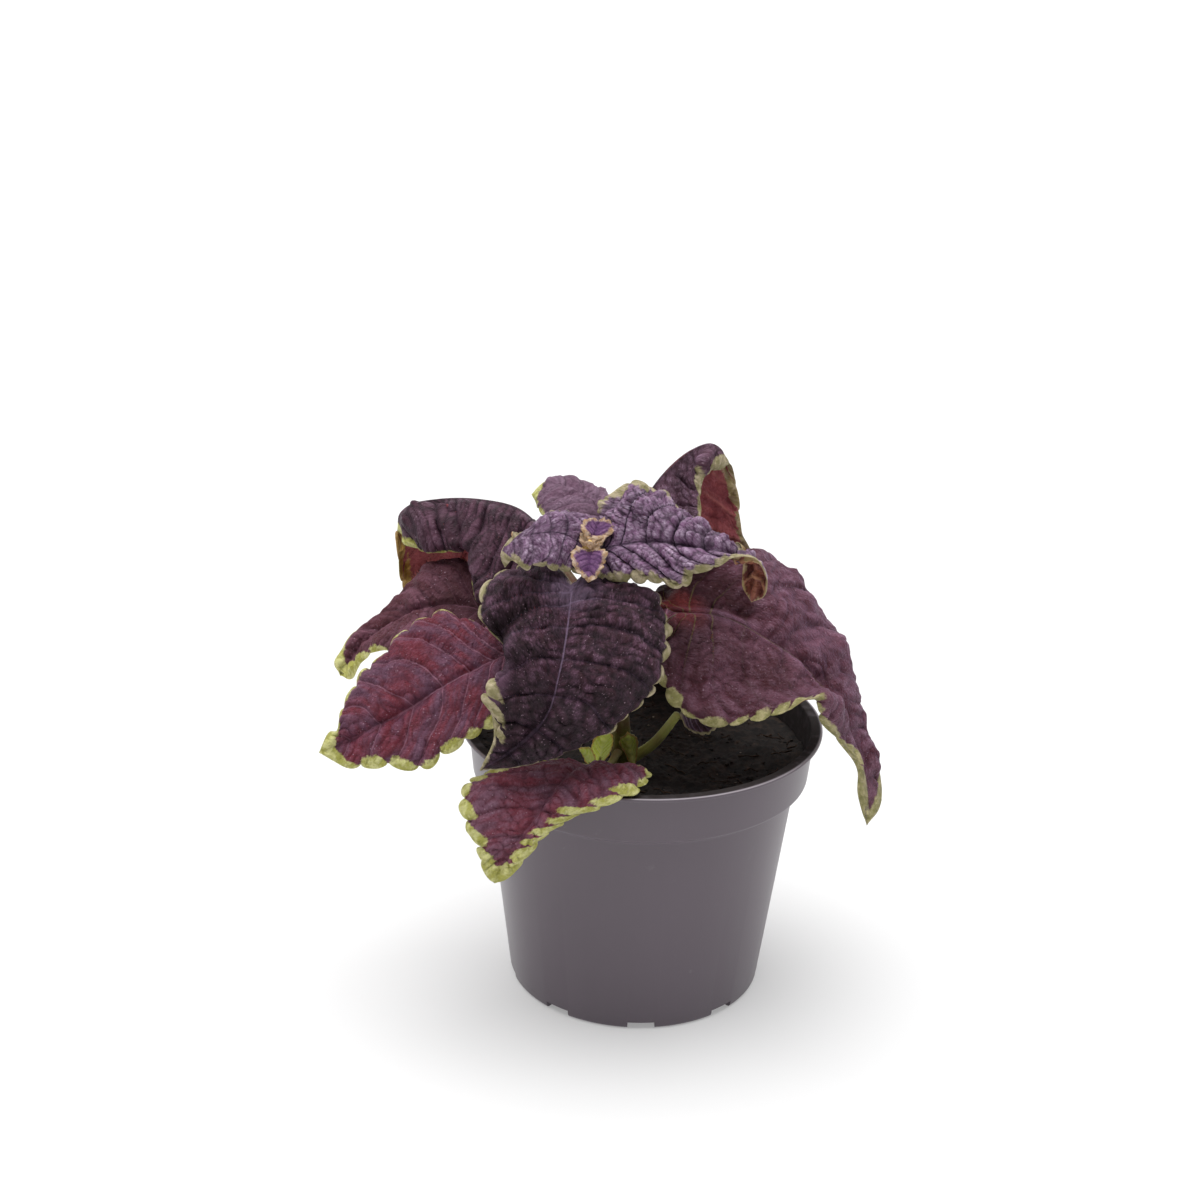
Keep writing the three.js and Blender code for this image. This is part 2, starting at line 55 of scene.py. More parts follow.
LARGE_LEAVES = {
    "leaf_front_dark": {
        "node": 140,
        "camber": 0.2,
        "midrib": [
            (-23.5, -36, 153.5), (-24.5, -47, 143), (-26.5, -54, 131.5), (-30, -59, 119.5),
            (-39, -62, 110), (-50, -62, 102),
        ],
        "right": [
            (-29.5, -28, 155.5), (-41, -27, 154), (-50.5, -32, 149), (-52, -38, 144),
            (-48.5, -45, 138), (-45, -51, 131), (-46.5, -56, 122), (-45.5, -59, 112.5),
        ],
        "left": [
            (-17.5, -28, 154), (-7.5, -28, 151.5), (2, -32, 147.5), (6.5, -38, 141.5),
            (6, -44, 134), (2, -50, 125), (-6, -55, 117.5), (-17, -59, 111), (-33, -62, 105),
        ],
    },
    "leaf_left_red": {
        "node": 112,
        "camber": 0.16,
        "midrib": [
            (-41, -34, 129.5), (-52, -38, 125.5), (-63.5, -42, 120), (-75, -45, 113),
            (-87, -47, 106.5), (-100.5, -48, 100),
        ],
        "right": [
            (-46.5, -27, 133.5), (-53.5, -23, 135), (-62, -21, 136.5), (-71, -24, 136),
            (-78.5, -29, 130.5), (-85.5, -34, 123), (-91.5, -39, 117), (-96, -44, 110),
        ],
        "left": [
            (-38, -42, 123), (-43, -47, 113.5), (-50.5, -50, 108.5), (-59.5, -52, 104),
            (-68.5, -54, 98), (-79.5, -53, 98.5), (-90.5, -51, 96.5),
        ],
    },
    "leaf_left_low": {
        "node": 122,
        "camber": 0.18,
        "midrib": [
            (-47, -15, 134.5), (-61, -11, 135.5), (-74.5, -8, 132), (-85, -8, 125.5),
            (-92.5, -10, 119.5), (-98.3, -13, 111),
        ],
        "right": [
            (-50.5, -2, 141), (-60, 4, 146), (-69, 5, 144.5), (-78.5, 3, 135), (-86, 0, 128.5),
            (-94, -5, 124), (-97.9, -9, 118.5), (-98.8, -11.5, 114),
        ],
        "left": [
            (-45.5, -22, 128.5), (-51.5, -27, 123), (-63, -29, 120), (-74.5, -26, 122),
            (-83, -20, 123.5), (-90, -16, 118), (-94.2, -14.5, 112.5),
        ],
    },
    "leaf_left_high": {
        "node": 140,
        "camber": 0.3,
        "midrib": [
            (-32, -2, 157), (-41.5, 4, 163.5), (-54.5, 10, 164.5), (-68, 14, 163), (-78, 16, 160),
            (-81.5, 13, 156.5), (-76.5, 7, 149.5),
        ],
        "right": [
            (-35, 10, 154.5), (-40, 16, 138.5), (-52, 20, 126), (-65.5, 20, 123.5), (-77, 18, 125),
            (-81, 17, 131.5), (-82, 15, 142), (-82.5, 14, 151.5),
        ],
        "left": [
            (-38, -14, 146), (-45, -19, 137.5), (-53, -18, 138.5), (-55.5, -14, 144),
            (-53.5, -8, 150), (-57.5, -3, 151), (-65.5, 0, 149.5), (-72, 4, 149),
        ],
    },
    "leaf_back_left": {
        "node": 150,
        "camber": 0.2,
        "midrib": [
            (-14.5, -10, 161), (-17.5, 3, 166.5), (-24, 9, 169.5), (-31.5, 12, 170),
            (-38, 10, 166.8),
        ],
        "right": [
            (-8.5, 8, 163.5), (-14, 18, 164), (-22.5, 23, 165), (-29.5, 20.5, 167),
            (-34.5, 16, 168.5),
        ],
        "left": [(-18, -13, 159), (-26.5, -9, 160.5), (-33, -3, 163.5), (-36, 4, 164.5)],
    },
    "leaf_top_left": {
        "node": 156,
        "camber": 0.15,
        "midrib": [
            (-19.5, -26.5, 161.5), (-27, -29, 167), (-35, -34, 168.5), (-42, -39, 167.5),
            (-45, -40, 164.5), (-44, -37, 158.5),
        ],
        "right": [
            (-15.5, -16, 164), (-19.5, -14, 167), (-26, -17, 171), (-32, -24, 171),
            (-37, -30, 168), (-42, -36, 168),
        ],
        "left": [
            (-18, -30.5, 157), (-24, -33, 156.5), (-28.5, -37, 158), (-33.5, -40, 158.5),
            (-38, -41, 159.5), (-41.5, -41, 162),
        ],
    },
    "leaf_top_right": {
        "node": 156,
        "camber": 0.15,
        "midrib": [
            (-15.5, -27, 161.5), (-1.5, -29, 165.5), (9, -34, 166.5), (18, -39, 167),
            (26.5, -43, 167), (31.5, -43.5, 164.5), (32, -42.5, 158), (31, -41.5, 151),
        ],
        "right": [
            (-14.5, -31.5, 155.5), (-6, -35, 154.5), (2.5, -38, 155), (10, -41, 154.5),
            (13, -42, 159.5), (19, -43, 162), (25, -45, 166.5), (31, -47, 167), (35, -45.5, 160),
            (34.5, -43, 153.5),
        ],
        "left": [
            (-16, -17, 165.5), (-13, -12, 172.5), (-7, -12, 179), (-1, -14, 178.5),
            (6.5, -18, 174.5), (14, -26, 171.5), (20.5, -33, 168), (27, -39.5, 168),
            (28, -40.5, 162.5), (28, -41, 156),
        ],
    },
    "leaf_back_right": {
        "node": 138,
        "camber": 0.25,
        "midrib": [
            (-5, -6, 157), (-1, 4, 168), (6, 12, 176), (13.5, 17, 181), (20, 18.5, 182.8),
            (23.8, 16.5, 180.5), (22.8, 13.5, 175.5),
        ],
        "right": [
            (0, -8, 155), (9.5, -7, 156.5), (15.5, -1, 161), (16.5, 5, 168.5), (17.5, 11, 174.5),
            (19.5, 12.5, 175.5),
        ],
        "left": [
            (-1.5, 6, 150.5), (11, 14, 142), (23.5, 19, 139), (34.5, 21, 143.5), (31.5, 21, 152.5),
            (30, 22, 163), (28.5, 22, 170), (26.5, 18.5, 176),
        ],
    },
    "leaf_right_large": {
        "node": 122,
        "camber": 0.18,
        "midrib": [
            (10, -12, 135.5), (24.5, -10, 133.5), (38.5, -11, 127), (52, -13, 118),
            (62.5, -18, 106.5), (69, -23, 94.5), (72.5, -28, 82.5), (73, -30, 70.5),
        ],
        "right": [
            (4, -24, 134), (3, -33, 126.5), (7, -38, 118), (14, -41, 112.5), (23.5, -42, 110),
            (33, -42, 113), (43, -40, 117), (52, -36, 118), (56.5, -32, 107.5), (62, -30, 100),
            (68.5, -29, 90.5), (70.5, -29, 81),
        ],
        "left": [
            (1, -13, 138), (-1.5, -6, 140.5), (4, 2, 143.5), (14, 8, 146), (26.5, 12, 148.5),
            (39, 14, 146), (50, 13, 138.5), (59, 8, 129), (65.5, 2, 119), (68.5, -7, 106.5),
            (74, -15, 95.5), (76.9, -23, 84), (75.8, -28, 76),
        ],
    },
    "leaf_front_low": {
        "node": 88,
        "camber": 0.12,
        "via": [(-10, -23, 87), (-13, -30, 89)],
        "midrib": [
            (-16.5, -37, 93), (-23.5, -52, 96), (-30, -60, 90), (-37.5, -65, 80.5),
            (-42.5, -65.2, 72), (-45, -65.2, 65.5),
        ],
        "right": [
            (-26, -37, 94), (-40, -43, 95), (-50.5, -48, 94.5), (-56, -53, 91), (-56, -57, 87),
            (-54, -61, 81.5), (-50.5, -63.2, 77), (-49.2, -64.2, 70.5), (-47, -64.8, 67),
        ],
        "left": [
            (-8.5, -38.5, 92.5), (-1, -44.5, 95), (2, -50, 95.5), (-2.5, -58.5, 95),
            (-11, -63.5, 92), (-21.5, -64.7, 88), (-31, -64.8, 80.5), (-37.5, -65.2, 71),
            (-41.5, -65.2, 67),
        ],
    },
    "leaf_back_low": {
        "node": 112,
        "camber": 0.15,
        "midrib": [(5, 8, 119), (8, 22, 124), (8, 40, 120), (6, 54, 107), (4, 62, 92)],
        "right": [(19, 12, 120), (29, 28, 119), (31, 44, 111), (21, 57, 100)],
        "left": [(-8, 10, 122), (-17, 26, 121), (-19, 42, 113), (-11, 56, 102)],
    },
}

SMALL_LEAVES = {
    "leaf_tip_upper": {
        "midrib": [(-18, -31, 165), (-16.5, -27, 167.5), (-16, -23, 169.5)],
        "right": [(-13, -26, 167), (-12.5, -23, 169)],
        "left": [(-20.5, -28, 168), (-19, -24, 170)],
    },
    "leaf_tip_lower": {
        "midrib": [(-18.5, -31, 163), (-18.5, -36.5, 160.5), (-18.5, -39, 155)],
        "right": [(-23, -35, 163), (-22.5, -38, 159.5), (-20.5, -39, 157)],
        "left": [(-14.5, -34, 163.5), (-14.5, -37, 160), (-16, -39, 157)],
    },
    "leaf_shoot_right": {
        "midrib": [(11.5, -22, 104.5), (18, -27, 107.5), (25, -32, 108)],
        "right": [(14, -28, 102), (20, -33, 103)],
        "left": [(14.5, -14, 106), (20.5, -20, 109.5)],
    },
    "leaf_green_small": {
        "midrib": [(-14, -19, 83.5), (-13, -19, 90.5), (-11.5, -18, 97.5)],
        "right": [(-16.5, -16, 85.5), (-15.5, -18, 93.5)],
        "left": [(-10.5, -16, 87.5), (-9.5, -17, 93)],
    },
    "leaf_green_tiny": {
        "midrib": [(-16, -20, 83.5), (-18, -20, 88.5), (-21, -20, 91)],
        "right": [(-18, -18, 85), (-20, -20, 89.5)],
        "left": [(-15, -19, 86), (-17, -20, 91)],
    },
    "leaf_sprout": {
        "midrib": [(-2.5, -20, 82.5), (-4, -21, 90.5), (-5, -22, 98)],
        "right": [(-5.5, -21, 89.5), (-7.5, -22, 94.5)],
        "left": [(-1.5, -20, 90.5), (-2, -21, 95.5)],
    },
}

SMALL_CAMBER = 0.12

# Where the stalk of each small leaf starts.
SMALL_ROOTS = {
    "leaf_tip_upper": (-17.8, -29.6, 162.6),
    "leaf_tip_lower": (-17.8, -29.6, 162.6),
    "leaf_shoot_right": (10.6, -21.6, 103.6),
    "leaf_green_small": (-13.4, -18, 81),
    "leaf_green_tiny": (-15, -19.4, 81),
    "leaf_sprout": (-2.4, -19.6, 81),
}


# ---- how each blade looks -----------------------------------------------------------------------
# Pairs give the right and the left side. Shares along a blade run from 0 at its base to 1 at its
# tip.
#
# tooth, pitch: height and spacing of the round teeth. wave: how far the margin waves. curl: how
# far it turns down. arch: how far the blade bulges between two lateral veins. quilt: how far it
# bulges between its small veins, which are one cell apart. sunk: depth of the veins. ribs: height
# of the fine ribs between two lateral veins. billow, lumpy: heights of the broad and the small
# uneven lumps. slant: how the lateral veins lean, under 1 towards the tip. calm: how much of the
# bulge is left.
# folds: valleys from the base to the margin, each with its side, its share of the margin, its
# depth and its spread; a ridge has a depth under 0. pits: hollows round the base, each with its
# side, its reach and its depth. dents: places where the margin is drawn in, each with its side,
# its share of the margin, its depth and its spread as a share. The finish paints shade into the
# hollows and a highlight onto the ridges.
#
# right, left: widths of the pale margin at equal steps. notch: how much of it is left between two
# teeth. ragged: how uneven its inner edge is. rust: how brown its under side is. vein, midrib,
# star, crease, bloom_and_highlight, down: how strongly the lateral veins, the midrib, the flush
# round the base, the painted shade in the creases and beside the veins, the pale bloom with its
# painted highlight on the bulges, and its sheen show. reach: how far from the base the veins
# stand out. deep: from which share to which the blade is darkened with painted shade, and how
# far. grain: how fine its spots are. glow: how strongly the blade gives off a painted glow,
# standing in for light that comes through a thin leaf. pale, tone: names of its colours in
# PALES and in TONES.

PLAIN_LOOK = {
    "tooth": 2.2, "pitch": 8.0, "wave": 0.8, "curl": (0.7, 0.7), "arch": 0.4, "quilt": 0.5,
    "cell": 4.2, "sunk": 0.4, "ribs": 0.35, "billow": 0.5, "lumpy": 0.25, "slant": (1, 1),
    "calm": (1, 1), "folds": [], "pits": [], "dents": [],
    "right": (0.5, 1.6, 1.6, 4), "left": (0.5, 1.6, 1.6, 4), "notch": 0.15, "ragged": 3.0,
    "rust": 0.6, "vein": 0.25, "midrib": 1, "star": 0.2, "crease": 0.5, "bloom_and_highlight": 0.3,
    "down": 0.05, "reach": 15, "deep": (0.0, 1.0, 0.0), "grain": 1.0, "glow": 0,
    "pale": "lime", "tone": "dark",
}
SMALL_GREEN = {
    "tooth": 0.4, "pitch": 2.4, "arch": 0.1, "quilt": 0.1, "cell": 2.0, "sunk": 0.2, "lumpy": 0.08,
    "wave": 0.3, "curl": (0.2, 0.2), "right": (0.6,), "left": (0.6,), "ragged": 0.8, "bloom_and_highlight": 0.1,
    "ribs": 0, "billow": 0, "glow": 0.2, "tone": "green",
}
LOOKS = {
    "leaf_front_dark": {
        "arch": 0.65, "quilt": 0.55, "cell": 5.0, "curl": (0.4, 0.4), "sunk": 0.8, "lumpy": 0.3,
        "slant": (0.65, 1.4), "ribs": 0.6, "tooth": 2.8, "pitch": 7.0, "notch": 0.0,
        "bloom_and_highlight": 0.75, "vein": 0.12, "star": 0.7, "crease": 0.85, "ragged": 1.8,
        "right": (
            0.3, 0.3, 0.4, 0.6, 0.6, 0.6, 1.2, 1.7, 1.6, 1.0, 0.3,
            0.2, 0.3, 0.8, 2.8, 5.0, 5.2, 3.6, 1.4, 1.0, 0.5,
        ),
        "left": (
            0.2, 0.3, 0.3, 0.3, 0.3, 0.4, 1.2, 3.0, 3.2, 2.4, 1.4,
            0.7, 1.5, 1.0, 0.2, 0.0, 0.1, 0.2, 0.4, 0.4, 0.4,
        ),
        "folds": [
            ("right", 0.62, 7.0, 4.5), ("right", 0.76, -4.0, 3.0), ("right", 0.2, 0.9, 2.0),
            ("right", 0.3, -1.8, 4.0), ("right", 0.42, 0.6, 1.8),
            ("left", 0.12, 0.8, 2.5), ("left", 0.26, -1.8, 3.5), ("left", 0.38, 1.4, 2.5),
        ],
        "dents": [
            ("right", 0.58, 4.0, 0.06), ("right", 0.22, -1.5, 0.12), ("right", 0.8, -2.0, 0.06),
            ("right", 0.08, -2.5, 0.05), ("left", 0.06, -2.5, 0.06),
        ],
        "deep": (0.3, 0.75, 0.55), "pale": "beige",
    },
    "leaf_left_red": {
        "arch": 0.5, "cell": 5.0, "curl": (0.4, 0.2), "tooth": 3.0, "notch": 0.0, "lumpy": 0.3,
        "right": (0.0, 0.3, 0.5, 0.5, 0.4, 0.4, 0.5, 0.7, 1.4, 4.0, 6.0),
        "left": (0.6, 1.8, 3.0, 3.8, 3.8, 3.6, 3.4, 3.2, 3.0, 3.6, 6.0),
        "dents": [("right", 0.87, 3.5, 0.03), ("right", 0.7, -1.0, 0.1)],
        "vein": 0.5, "crease": 0.4, "down": 0.15, "bloom_and_highlight": 0.4, "tone": "red",
    },
    "leaf_left_low": {
        "quilt": 0.35, "cell": 5.0, "tooth": 1.4, "deep": (0.48, 0.25, 0.7), "tone": "maroon",
        "right": (0.2, 0.2, 0.2, 0.2, 0.2, 0.2, 0.3, 0.8, 5.0),
        "left": (0.3, 0.3, 0.3, 0.3, 0.4, 0.5, 2.0, 4.0, 5.0),
        "dents": [("right", 0.96, -2.0, 0.04), ("left", 0.96, -2.0, 0.04)],
    },
    "leaf_left_high": {
        "arch": 1.3, "quilt": 0.15, "cell": 8.0, "curl": (0.8, 0.8), "sunk": 0.8, "lumpy": 0.15,
        "ribs": 1.3, "tooth": 2.0, "calm": (0, 1), "crease": 0.9, "tone": "dusk",
        "right": (1.0, 2.5, 2.5, 2.5, 3.5, 6.0),
        "left": (0.0, 0.0, 0.0, 0.0, 0.0, 0.0, 0.0, 0.0, 4.0, 7.0),
    },
    "leaf_back_left": {
        "arch": 0.6, "quilt": 0.3, "cell": 5.0, "tooth": 1.6, "vein": 0.4, "tone": "mauve",
        "right": (0.4, 0.5, 0.6, 1.0, 3.5), "left": (0.4, 0.5, 0.6, 1.5, 3.5),
    },
    "leaf_top_left": {
        "arch": 0.3, "cell": 2.6, "curl": (0.6, 0.6), "sunk": 0.45, "tooth": 1.9, "pitch": 4.6,
        "right": (0.3, 0.4, 0.5, 0.6, 1.0, 6.0, 7.0), "left": (0.6, 1.0, 1.8, 2.4, 2.0, 6.0, 7.0),
        "dents": [("left", 0.15, -2.0, 0.12), ("left", 0.6, 3.0, 0.08)], "wave": 1.4,
        "vein": 0.4, "crease": 0.7, "bloom_and_highlight": 0.9, "pale": "beige", "tone": "young",
    },
    "leaf_top_right": {
        "arch": 0.9, "quilt": 1.0, "cell": 3.6, "curl": (1.0, 0.3), "sunk": 1.1, "lumpy": 0.3,
        "tooth": 2.3, "pitch": 7.6, "dents": [("right", 0.07, -2.5, 0.06)],
        "right": (0.8, 2.4, 3.4, 3.8, 3.2, 2.4, 2.0, 2.4, 1.6, 0.5, 0.5),
        "left": (0.5, 2.6, 4.2, 4.2, 3.6, 2.2, 1.0, 0.9, 1.2, 0.5, 0.5),
        "vein": 0.8, "crease": 0.95, "bloom_and_highlight": 1.0, "star": 0.5, "notch": 0.35, "rust": 0.2,
        "pale": "beige", "tone": "young",
    },
    "leaf_back_right": {
        "arch": 1.0, "curl": (0.2, 0.4), "calm": (1, 0), "sunk": 0.6, "lumpy": 0.3,
        "right": (0.2, 0.5, 0.9, 1.6, 3.0, 8.0), "left": (0.6, 2.4, 3.6, 3.6, 3.2, 8.0),
        "notch": 0.0, "bloom_and_highlight": 0.9, "rust": 0.15, "pale": "beige", "tone": "dusk",
    },
    "leaf_right_large": {
        "arch": 0.8, "cell": 6.5, "curl": (0.5, 0.7), "lumpy": 0.3, "tooth": 2.8, "pitch": 8.5,
        "ribs": 0.15, "billow": 1.1, "notch": 0.0, "ragged": 2.0,
        "right": (0.2, 0.6, 2.0, 3.0, 3.2, 3.2, 2.8, 2.6, 3.2, 4.0, 3.5),
        "left": (0.0, 0.0, 0.0, 0.0, 0.0, 0.0, 0.0, 0.3, 1.2, 1.6, 3.5),
        "folds": [("right", 0.45, -1.0, 3.5), ("left", 0.45, -1.2, 7.0)],
        "pits": [("left", 32.0, 4.4), ("right", 66.0, 1.8)],
        "dents": [("right", 0.93, -2.0, 0.06), ("left", 0.95, -2.0, 0.05)],
        "deep": (0.3, 0.1, 0.5), "star": 0.8, "vein": 0.03, "midrib": 0.35, "down": 0.35,
        "crease": 0.45, "bloom_and_highlight": 0.6, "reach": 26, "pale": "straw", "tone": "sheen",
    },
    "leaf_front_low": {
        "cell": 5.0, "pitch": 7.0, "tooth": 3.2, "curl": (0.5, 0.3), "lumpy": 0.3,
        "right": (0.8, 2.0, 3.6, 4.8, 5.2, 5.4, 5.4, 5.6, 6.0, 8.0),
        "left": (0.5, 1.6, 2.8, 3.8, 4.4, 4.8, 5.0, 5.0, 6.0, 8.0),
        "notch": 0.1, "vein": 0.1, "bloom_and_highlight": 0.45, "tone": "wine",
    },
    "leaf_back_low": {"tone": "red"},
    "leaf_tip_upper": {
        "tooth": 1.1, "pitch": 2.0, "arch": 0.1, "quilt": 0.1, "cell": 1.2, "sunk": 0.25,
        "lumpy": 0.3, "curl": (-0.4, -0.4), "wave": 1.1, "ragged": 2.0, "notch": 0.5,
        "right": (2.4, 1.5, 1.1, 1.0, 1.2), "left": (2.4, 1.5, 1.1, 1.0, 1.2), "glow": 0.04,
        "dents": [("right", 0.45, -1.8, 0.3), ("left", 0.45, -0.8, 0.3)],
        "ribs": 0, "billow": 0, "grain": 2.5, "pale": "gold", "tone": "violet",
    },
    "leaf_tip_lower": {
        "tooth": 1.2, "pitch": 2.2, "arch": 0.1, "quilt": 0.15, "cell": 1.4, "sunk": 0.3,
        "lumpy": 0.35, "curl": (-0.4, -0.4), "wave": 1.2, "ragged": 2.2, "notch": 0.4,
        "right": (2.4, 1.4, 1.2, 1.4, 2.4), "left": (2.4, 1.4, 1.2, 1.4, 2.4), "glow": 0.04,
        "dents": [("right", 0.3, -1.2, 0.3), ("left", 0.3, -1.0, 0.3)],
        "ribs": 0, "billow": 0, "grain": 2.5, "pale": "gold", "tone": "violet",
    },
    "leaf_shoot_right": {
        "tooth": 0.8, "pitch": 3.0, "arch": 0.2, "quilt": 0.2, "cell": 2.0, "sunk": 0.2,
        "lumpy": 0.1, "wave": 0.4, "right": (0.8,), "left": (0.8,), "ragged": 1.0, "notch": 0.5,
        "ribs": 0.1, "billow": 0, "pale": "beige",
    },
    "leaf_green_small": SMALL_GREEN,
    "leaf_green_tiny": SMALL_GREEN,
    "leaf_sprout": {**SMALL_GREEN, "glow": 0},
    "growing_tip": {
        "tooth": 0.25, "pitch": 0.9, "arch": 0.03, "quilt": 0.03, "cell": 0.6, "sunk": 0.03,
        "lumpy": 0.06, "curl": (-0.1, -0.1), "wave": 0.3, "ragged": 1.0, "notch": 0.8,
        "right": (3.0, 1.2), "left": (3.0, 1.2), "glow": 0.12, "rust": 0,
        "ribs": 0, "billow": 0, "grain": 3.0, "pale": "gold", "tone": "golden",
    },
}

# Upper side: two colours that mix in soft patches, the veins, the pale bloom with its painted
# highlight, and the flush round the base. Under side: two colours and the veins. Colours are red,
# green and blue from 0 to 255, as on a screen.
RED_UNDER = {"under": ((138, 56, 60), (164, 74, 70)), "under_vein": (180, 104, 92)}
WARM_UNDER = {**RED_UNDER, "under_vein": (180, 112, 92)}
TONES = {
    "dark": {
        "upper": ((34, 15, 20), (62, 29, 40)), "vein": (136, 114, 140),
        "bloom_and_highlight": (140, 102, 128), "base": (126, 106, 130), **RED_UNDER,
    },
    "dusk": {
        "upper": ((62, 33, 45), (94, 58, 75)), "vein": (50, 30, 42),
        "bloom_and_highlight": (156, 124, 148), "base": (120, 96, 120),
        "under": ((148, 70, 76), (174, 90, 92)), "under_vein": (186, 118, 104),
    },
    "mauve": {
        "upper": ((112, 78, 100), (140, 110, 132)), "vein": (76, 50, 66),
        "bloom_and_highlight": (164, 138, 158), "base": (130, 104, 124), **RED_UNDER,
    },
    "maroon": {
        "upper": ((88, 40, 48), (124, 78, 94)), "vein": (124, 84, 98),
        "bloom_and_highlight": (140, 104, 118), "base": (80, 36, 42), **RED_UNDER,
    },
    "red": {
        "upper": ((116, 40, 52), (100, 64, 84)), "vein": (168, 118, 138),
        "bloom_and_highlight": (150, 108, 130), "base": (130, 96, 118), **WARM_UNDER,
    },
    "wine": {
        "upper": ((126, 52, 66), (122, 82, 100)), "vein": (136, 92, 108),
        "bloom_and_highlight": (164, 128, 148), "base": (120, 76, 92), **WARM_UNDER,
    },
    "sheen": {
        "upper": ((74, 20, 30), (114, 68, 84)), "vein": (132, 124, 74),
        "bloom_and_highlight": (158, 122, 142), "base": (140, 56, 54),
        **RED_UNDER, "under_vein": (164, 130, 74),
    },
    "young": {
        "upper": ((86, 52, 82), (146, 106, 142)), "vein": (42, 24, 46),
        "bloom_and_highlight": (214, 192, 216), "base": (88, 60, 94),
        "under": ((112, 54, 42), (136, 76, 54)), "under_vein": (150, 104, 76),
    },
    "violet": {
        "upper": ((124, 78, 130), (162, 116, 162)), "vein": (98, 60, 106),
        "bloom_and_highlight": (196, 164, 196), "base": (84, 44, 106),
        "under": ((124, 84, 84), (140, 110, 74)), "under_vein": (176, 156, 104),
    },
    "golden": {
        "upper": ((200, 160, 104), (224, 194, 148)), "vein": (196, 156, 100),
        "bloom_and_highlight": (236, 216, 190), "base": (206, 168, 96),
        "under": ((196, 156, 104), (220, 188, 140)), "under_vein": (200, 164, 110),
    },
    "green": {
        "upper": ((206, 214, 60), (236, 238, 96)), "vein": (240, 240, 140),
        "bloom_and_highlight": (236, 238, 150), "base": (190, 204, 70),
        "under": ((190, 206, 80), (214, 226, 110)), "under_vein": (220, 228, 140),
    },
}
PALES = {
    "lime": ((180, 178, 90), (222, 220, 150)),
    "straw": ((146, 142, 88), (190, 180, 132)),
    "beige": ((152, 144, 102), (196, 182, 150)),
    "gold": ((206, 166, 124), (236, 210, 184)),
}


# ---- lines and noise ----------------------------------------------------------------------------

SPAN_STEPS = 24


def catmull_rom(points):
    """Close points on the centripetal Catmull-Rom curve through the given ones."""
    p = np.array(points, float)
    p = np.vstack([2 * p[0] - p[1], p, 2 * p[-1] - p[-2]])
    w = np.linspace(0, 1, SPAN_STEPS, endpoint=False)[:, None]
    spans = []
    for a, b, c, d in zip(p, p[1:], p[2:], p[3:]):
        before, here, after = (np.linalg.norm(v) ** 0.5 for v in (b - a, c - b, d - c))
        start = (b - a) / before - (c - a) / (before + here) + (c - b) / here
        end = (c - b) / here - (d - b) / (here + after) + (d - c) / after
        start, end = start * here, end * here
        square = (3 * (c - b) - 2 * start - end) * w**2
        cube = (2 * (b - c) + start + end) * w**3
        spans.append(b + start * w + square + cube)
    return np.vstack(spans + [p[-2:-1]])


def length_along(line):
    steps = np.linalg.norm(np.diff(line, axis=0), axis=1)
    return np.concatenate([[0], np.cumsum(steps)])


def at_shares(line, shares):
    """Points at shares of the line's length."""
    reach = length_along(line)
    return np.stack([np.interp(shares * reach[-1], reach, line[:, k]) for k in range(3)], -1)


def unit(vectors):
    length = np.linalg.norm(vectors, axis=-1, keepdims=True)
    return vectors / np.maximum(length, 1e-9)


def dot(a, b):
    return np.sum(a * b, axis=-1, keepdims=True)


def smooth(value, low, high):
    share = np.clip((value - low) / (high - low), 0, 1)
    return share * share * (3 - 2 * share)


def bell(distance, spread):
    """1 at no distance, and falling off smoothly over about one spread."""
    return np.exp(-((distance / spread) ** 2))


def wobble(x, rng, waves=4, octave=1.6):
    """A smooth random line through x, about -1 to 1, whose slowest wave is 1 long."""
    total = np.zeros_like(np.asarray(x, float))
    for k in range(waves):
        frequency = octave**k * rng.uniform(0.8, 1.2)
        total += np.sin(2 * math.pi * (frequency * x + rng.uniform())) / octave**k
    return total / 2


def lumps(points, rng, size, waves=24):
    """Smooth random heights over points in space, about -1 to 1, for lumps of a size."""
    total = np.zeros(points.shape[:-1])
    for _ in range(waves):
        direction = unit(rng.normal(size=3)) * rng.uniform(0.6, 1.6) / size
        total += np.sin(2 * math.pi * (points @ direction + rng.uniform()))
    return total / math.sqrt(waves)


# ---- meshes -------------------------------------------------------------------------------------

def new_piece(name, points, faces, materials, slots=None, attributes=None):
    """A smooth mesh object from points in millimetres. slots gives each face's material."""
    mesh = bpy.data.meshes.new(name)
    mesh.from_pydata((np.asarray(points) * MM).tolist(), [], faces)
    for material in materials:
        mesh.materials.append(material)
    if slots is not None:
        mesh.polygons.foreach_set("material_index", np.asarray(slots, np.int32))
    for key, values in (attributes or {}).items():
        kind = "FLOAT_VECTOR" if values.ndim == 2 else "FLOAT"
        layer = mesh.attributes.new(key, kind, "POINT")
        layer.data.foreach_set("vector" if values.ndim == 2 else "value", values.ravel())
    mesh.shade_smooth()
    mesh.update()
    piece = bpy.data.objects.new(name, mesh)
    bpy.context.scene.collection.objects.link(piece)
    return piece


def joined(name, parts, materials, attributes=None):
    """One object from several meshes, each with its points, its faces and their slot or slots."""
    points = np.vstack([part[0] for part in parts])
    faces, slots, start = [], [], 0
    for part_points, part_faces, slot in parts:
        faces += [tuple(c + start for c in face) for face in part_faces]
        slots += [slot] * len(part_faces) if isinstance(slot, int) else list(slot)
        start += len(part_points)
    return new_piece(name, points, faces, materials, slots, attributes)


def settle(piece, node):
    """The piece rides on the plant's one body and takes its CAD node's place."""
    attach(piece, "root")
    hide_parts(node)


def sharpen(piece, angle):
    """Keeps edges crisp where faces meet at more than an angle, in degrees."""
    mesh = bmesh.new()
    mesh.from_mesh(piece.data)
    for edge in mesh.edges:
        edge.smooth = len(edge.link_faces) == 2 and edge.calc_face_angle(0) < math.radians(angle)
    mesh.to_mesh(piece.data)
    mesh.free()


def around(sides):
    """Points of a circle of radius 1 round the Z axis."""
    angles = np.arange(sides) * 2 * math.pi / sides
    return np.stack([np.cos(angles), np.sin(angles), 0 * angles], -1)


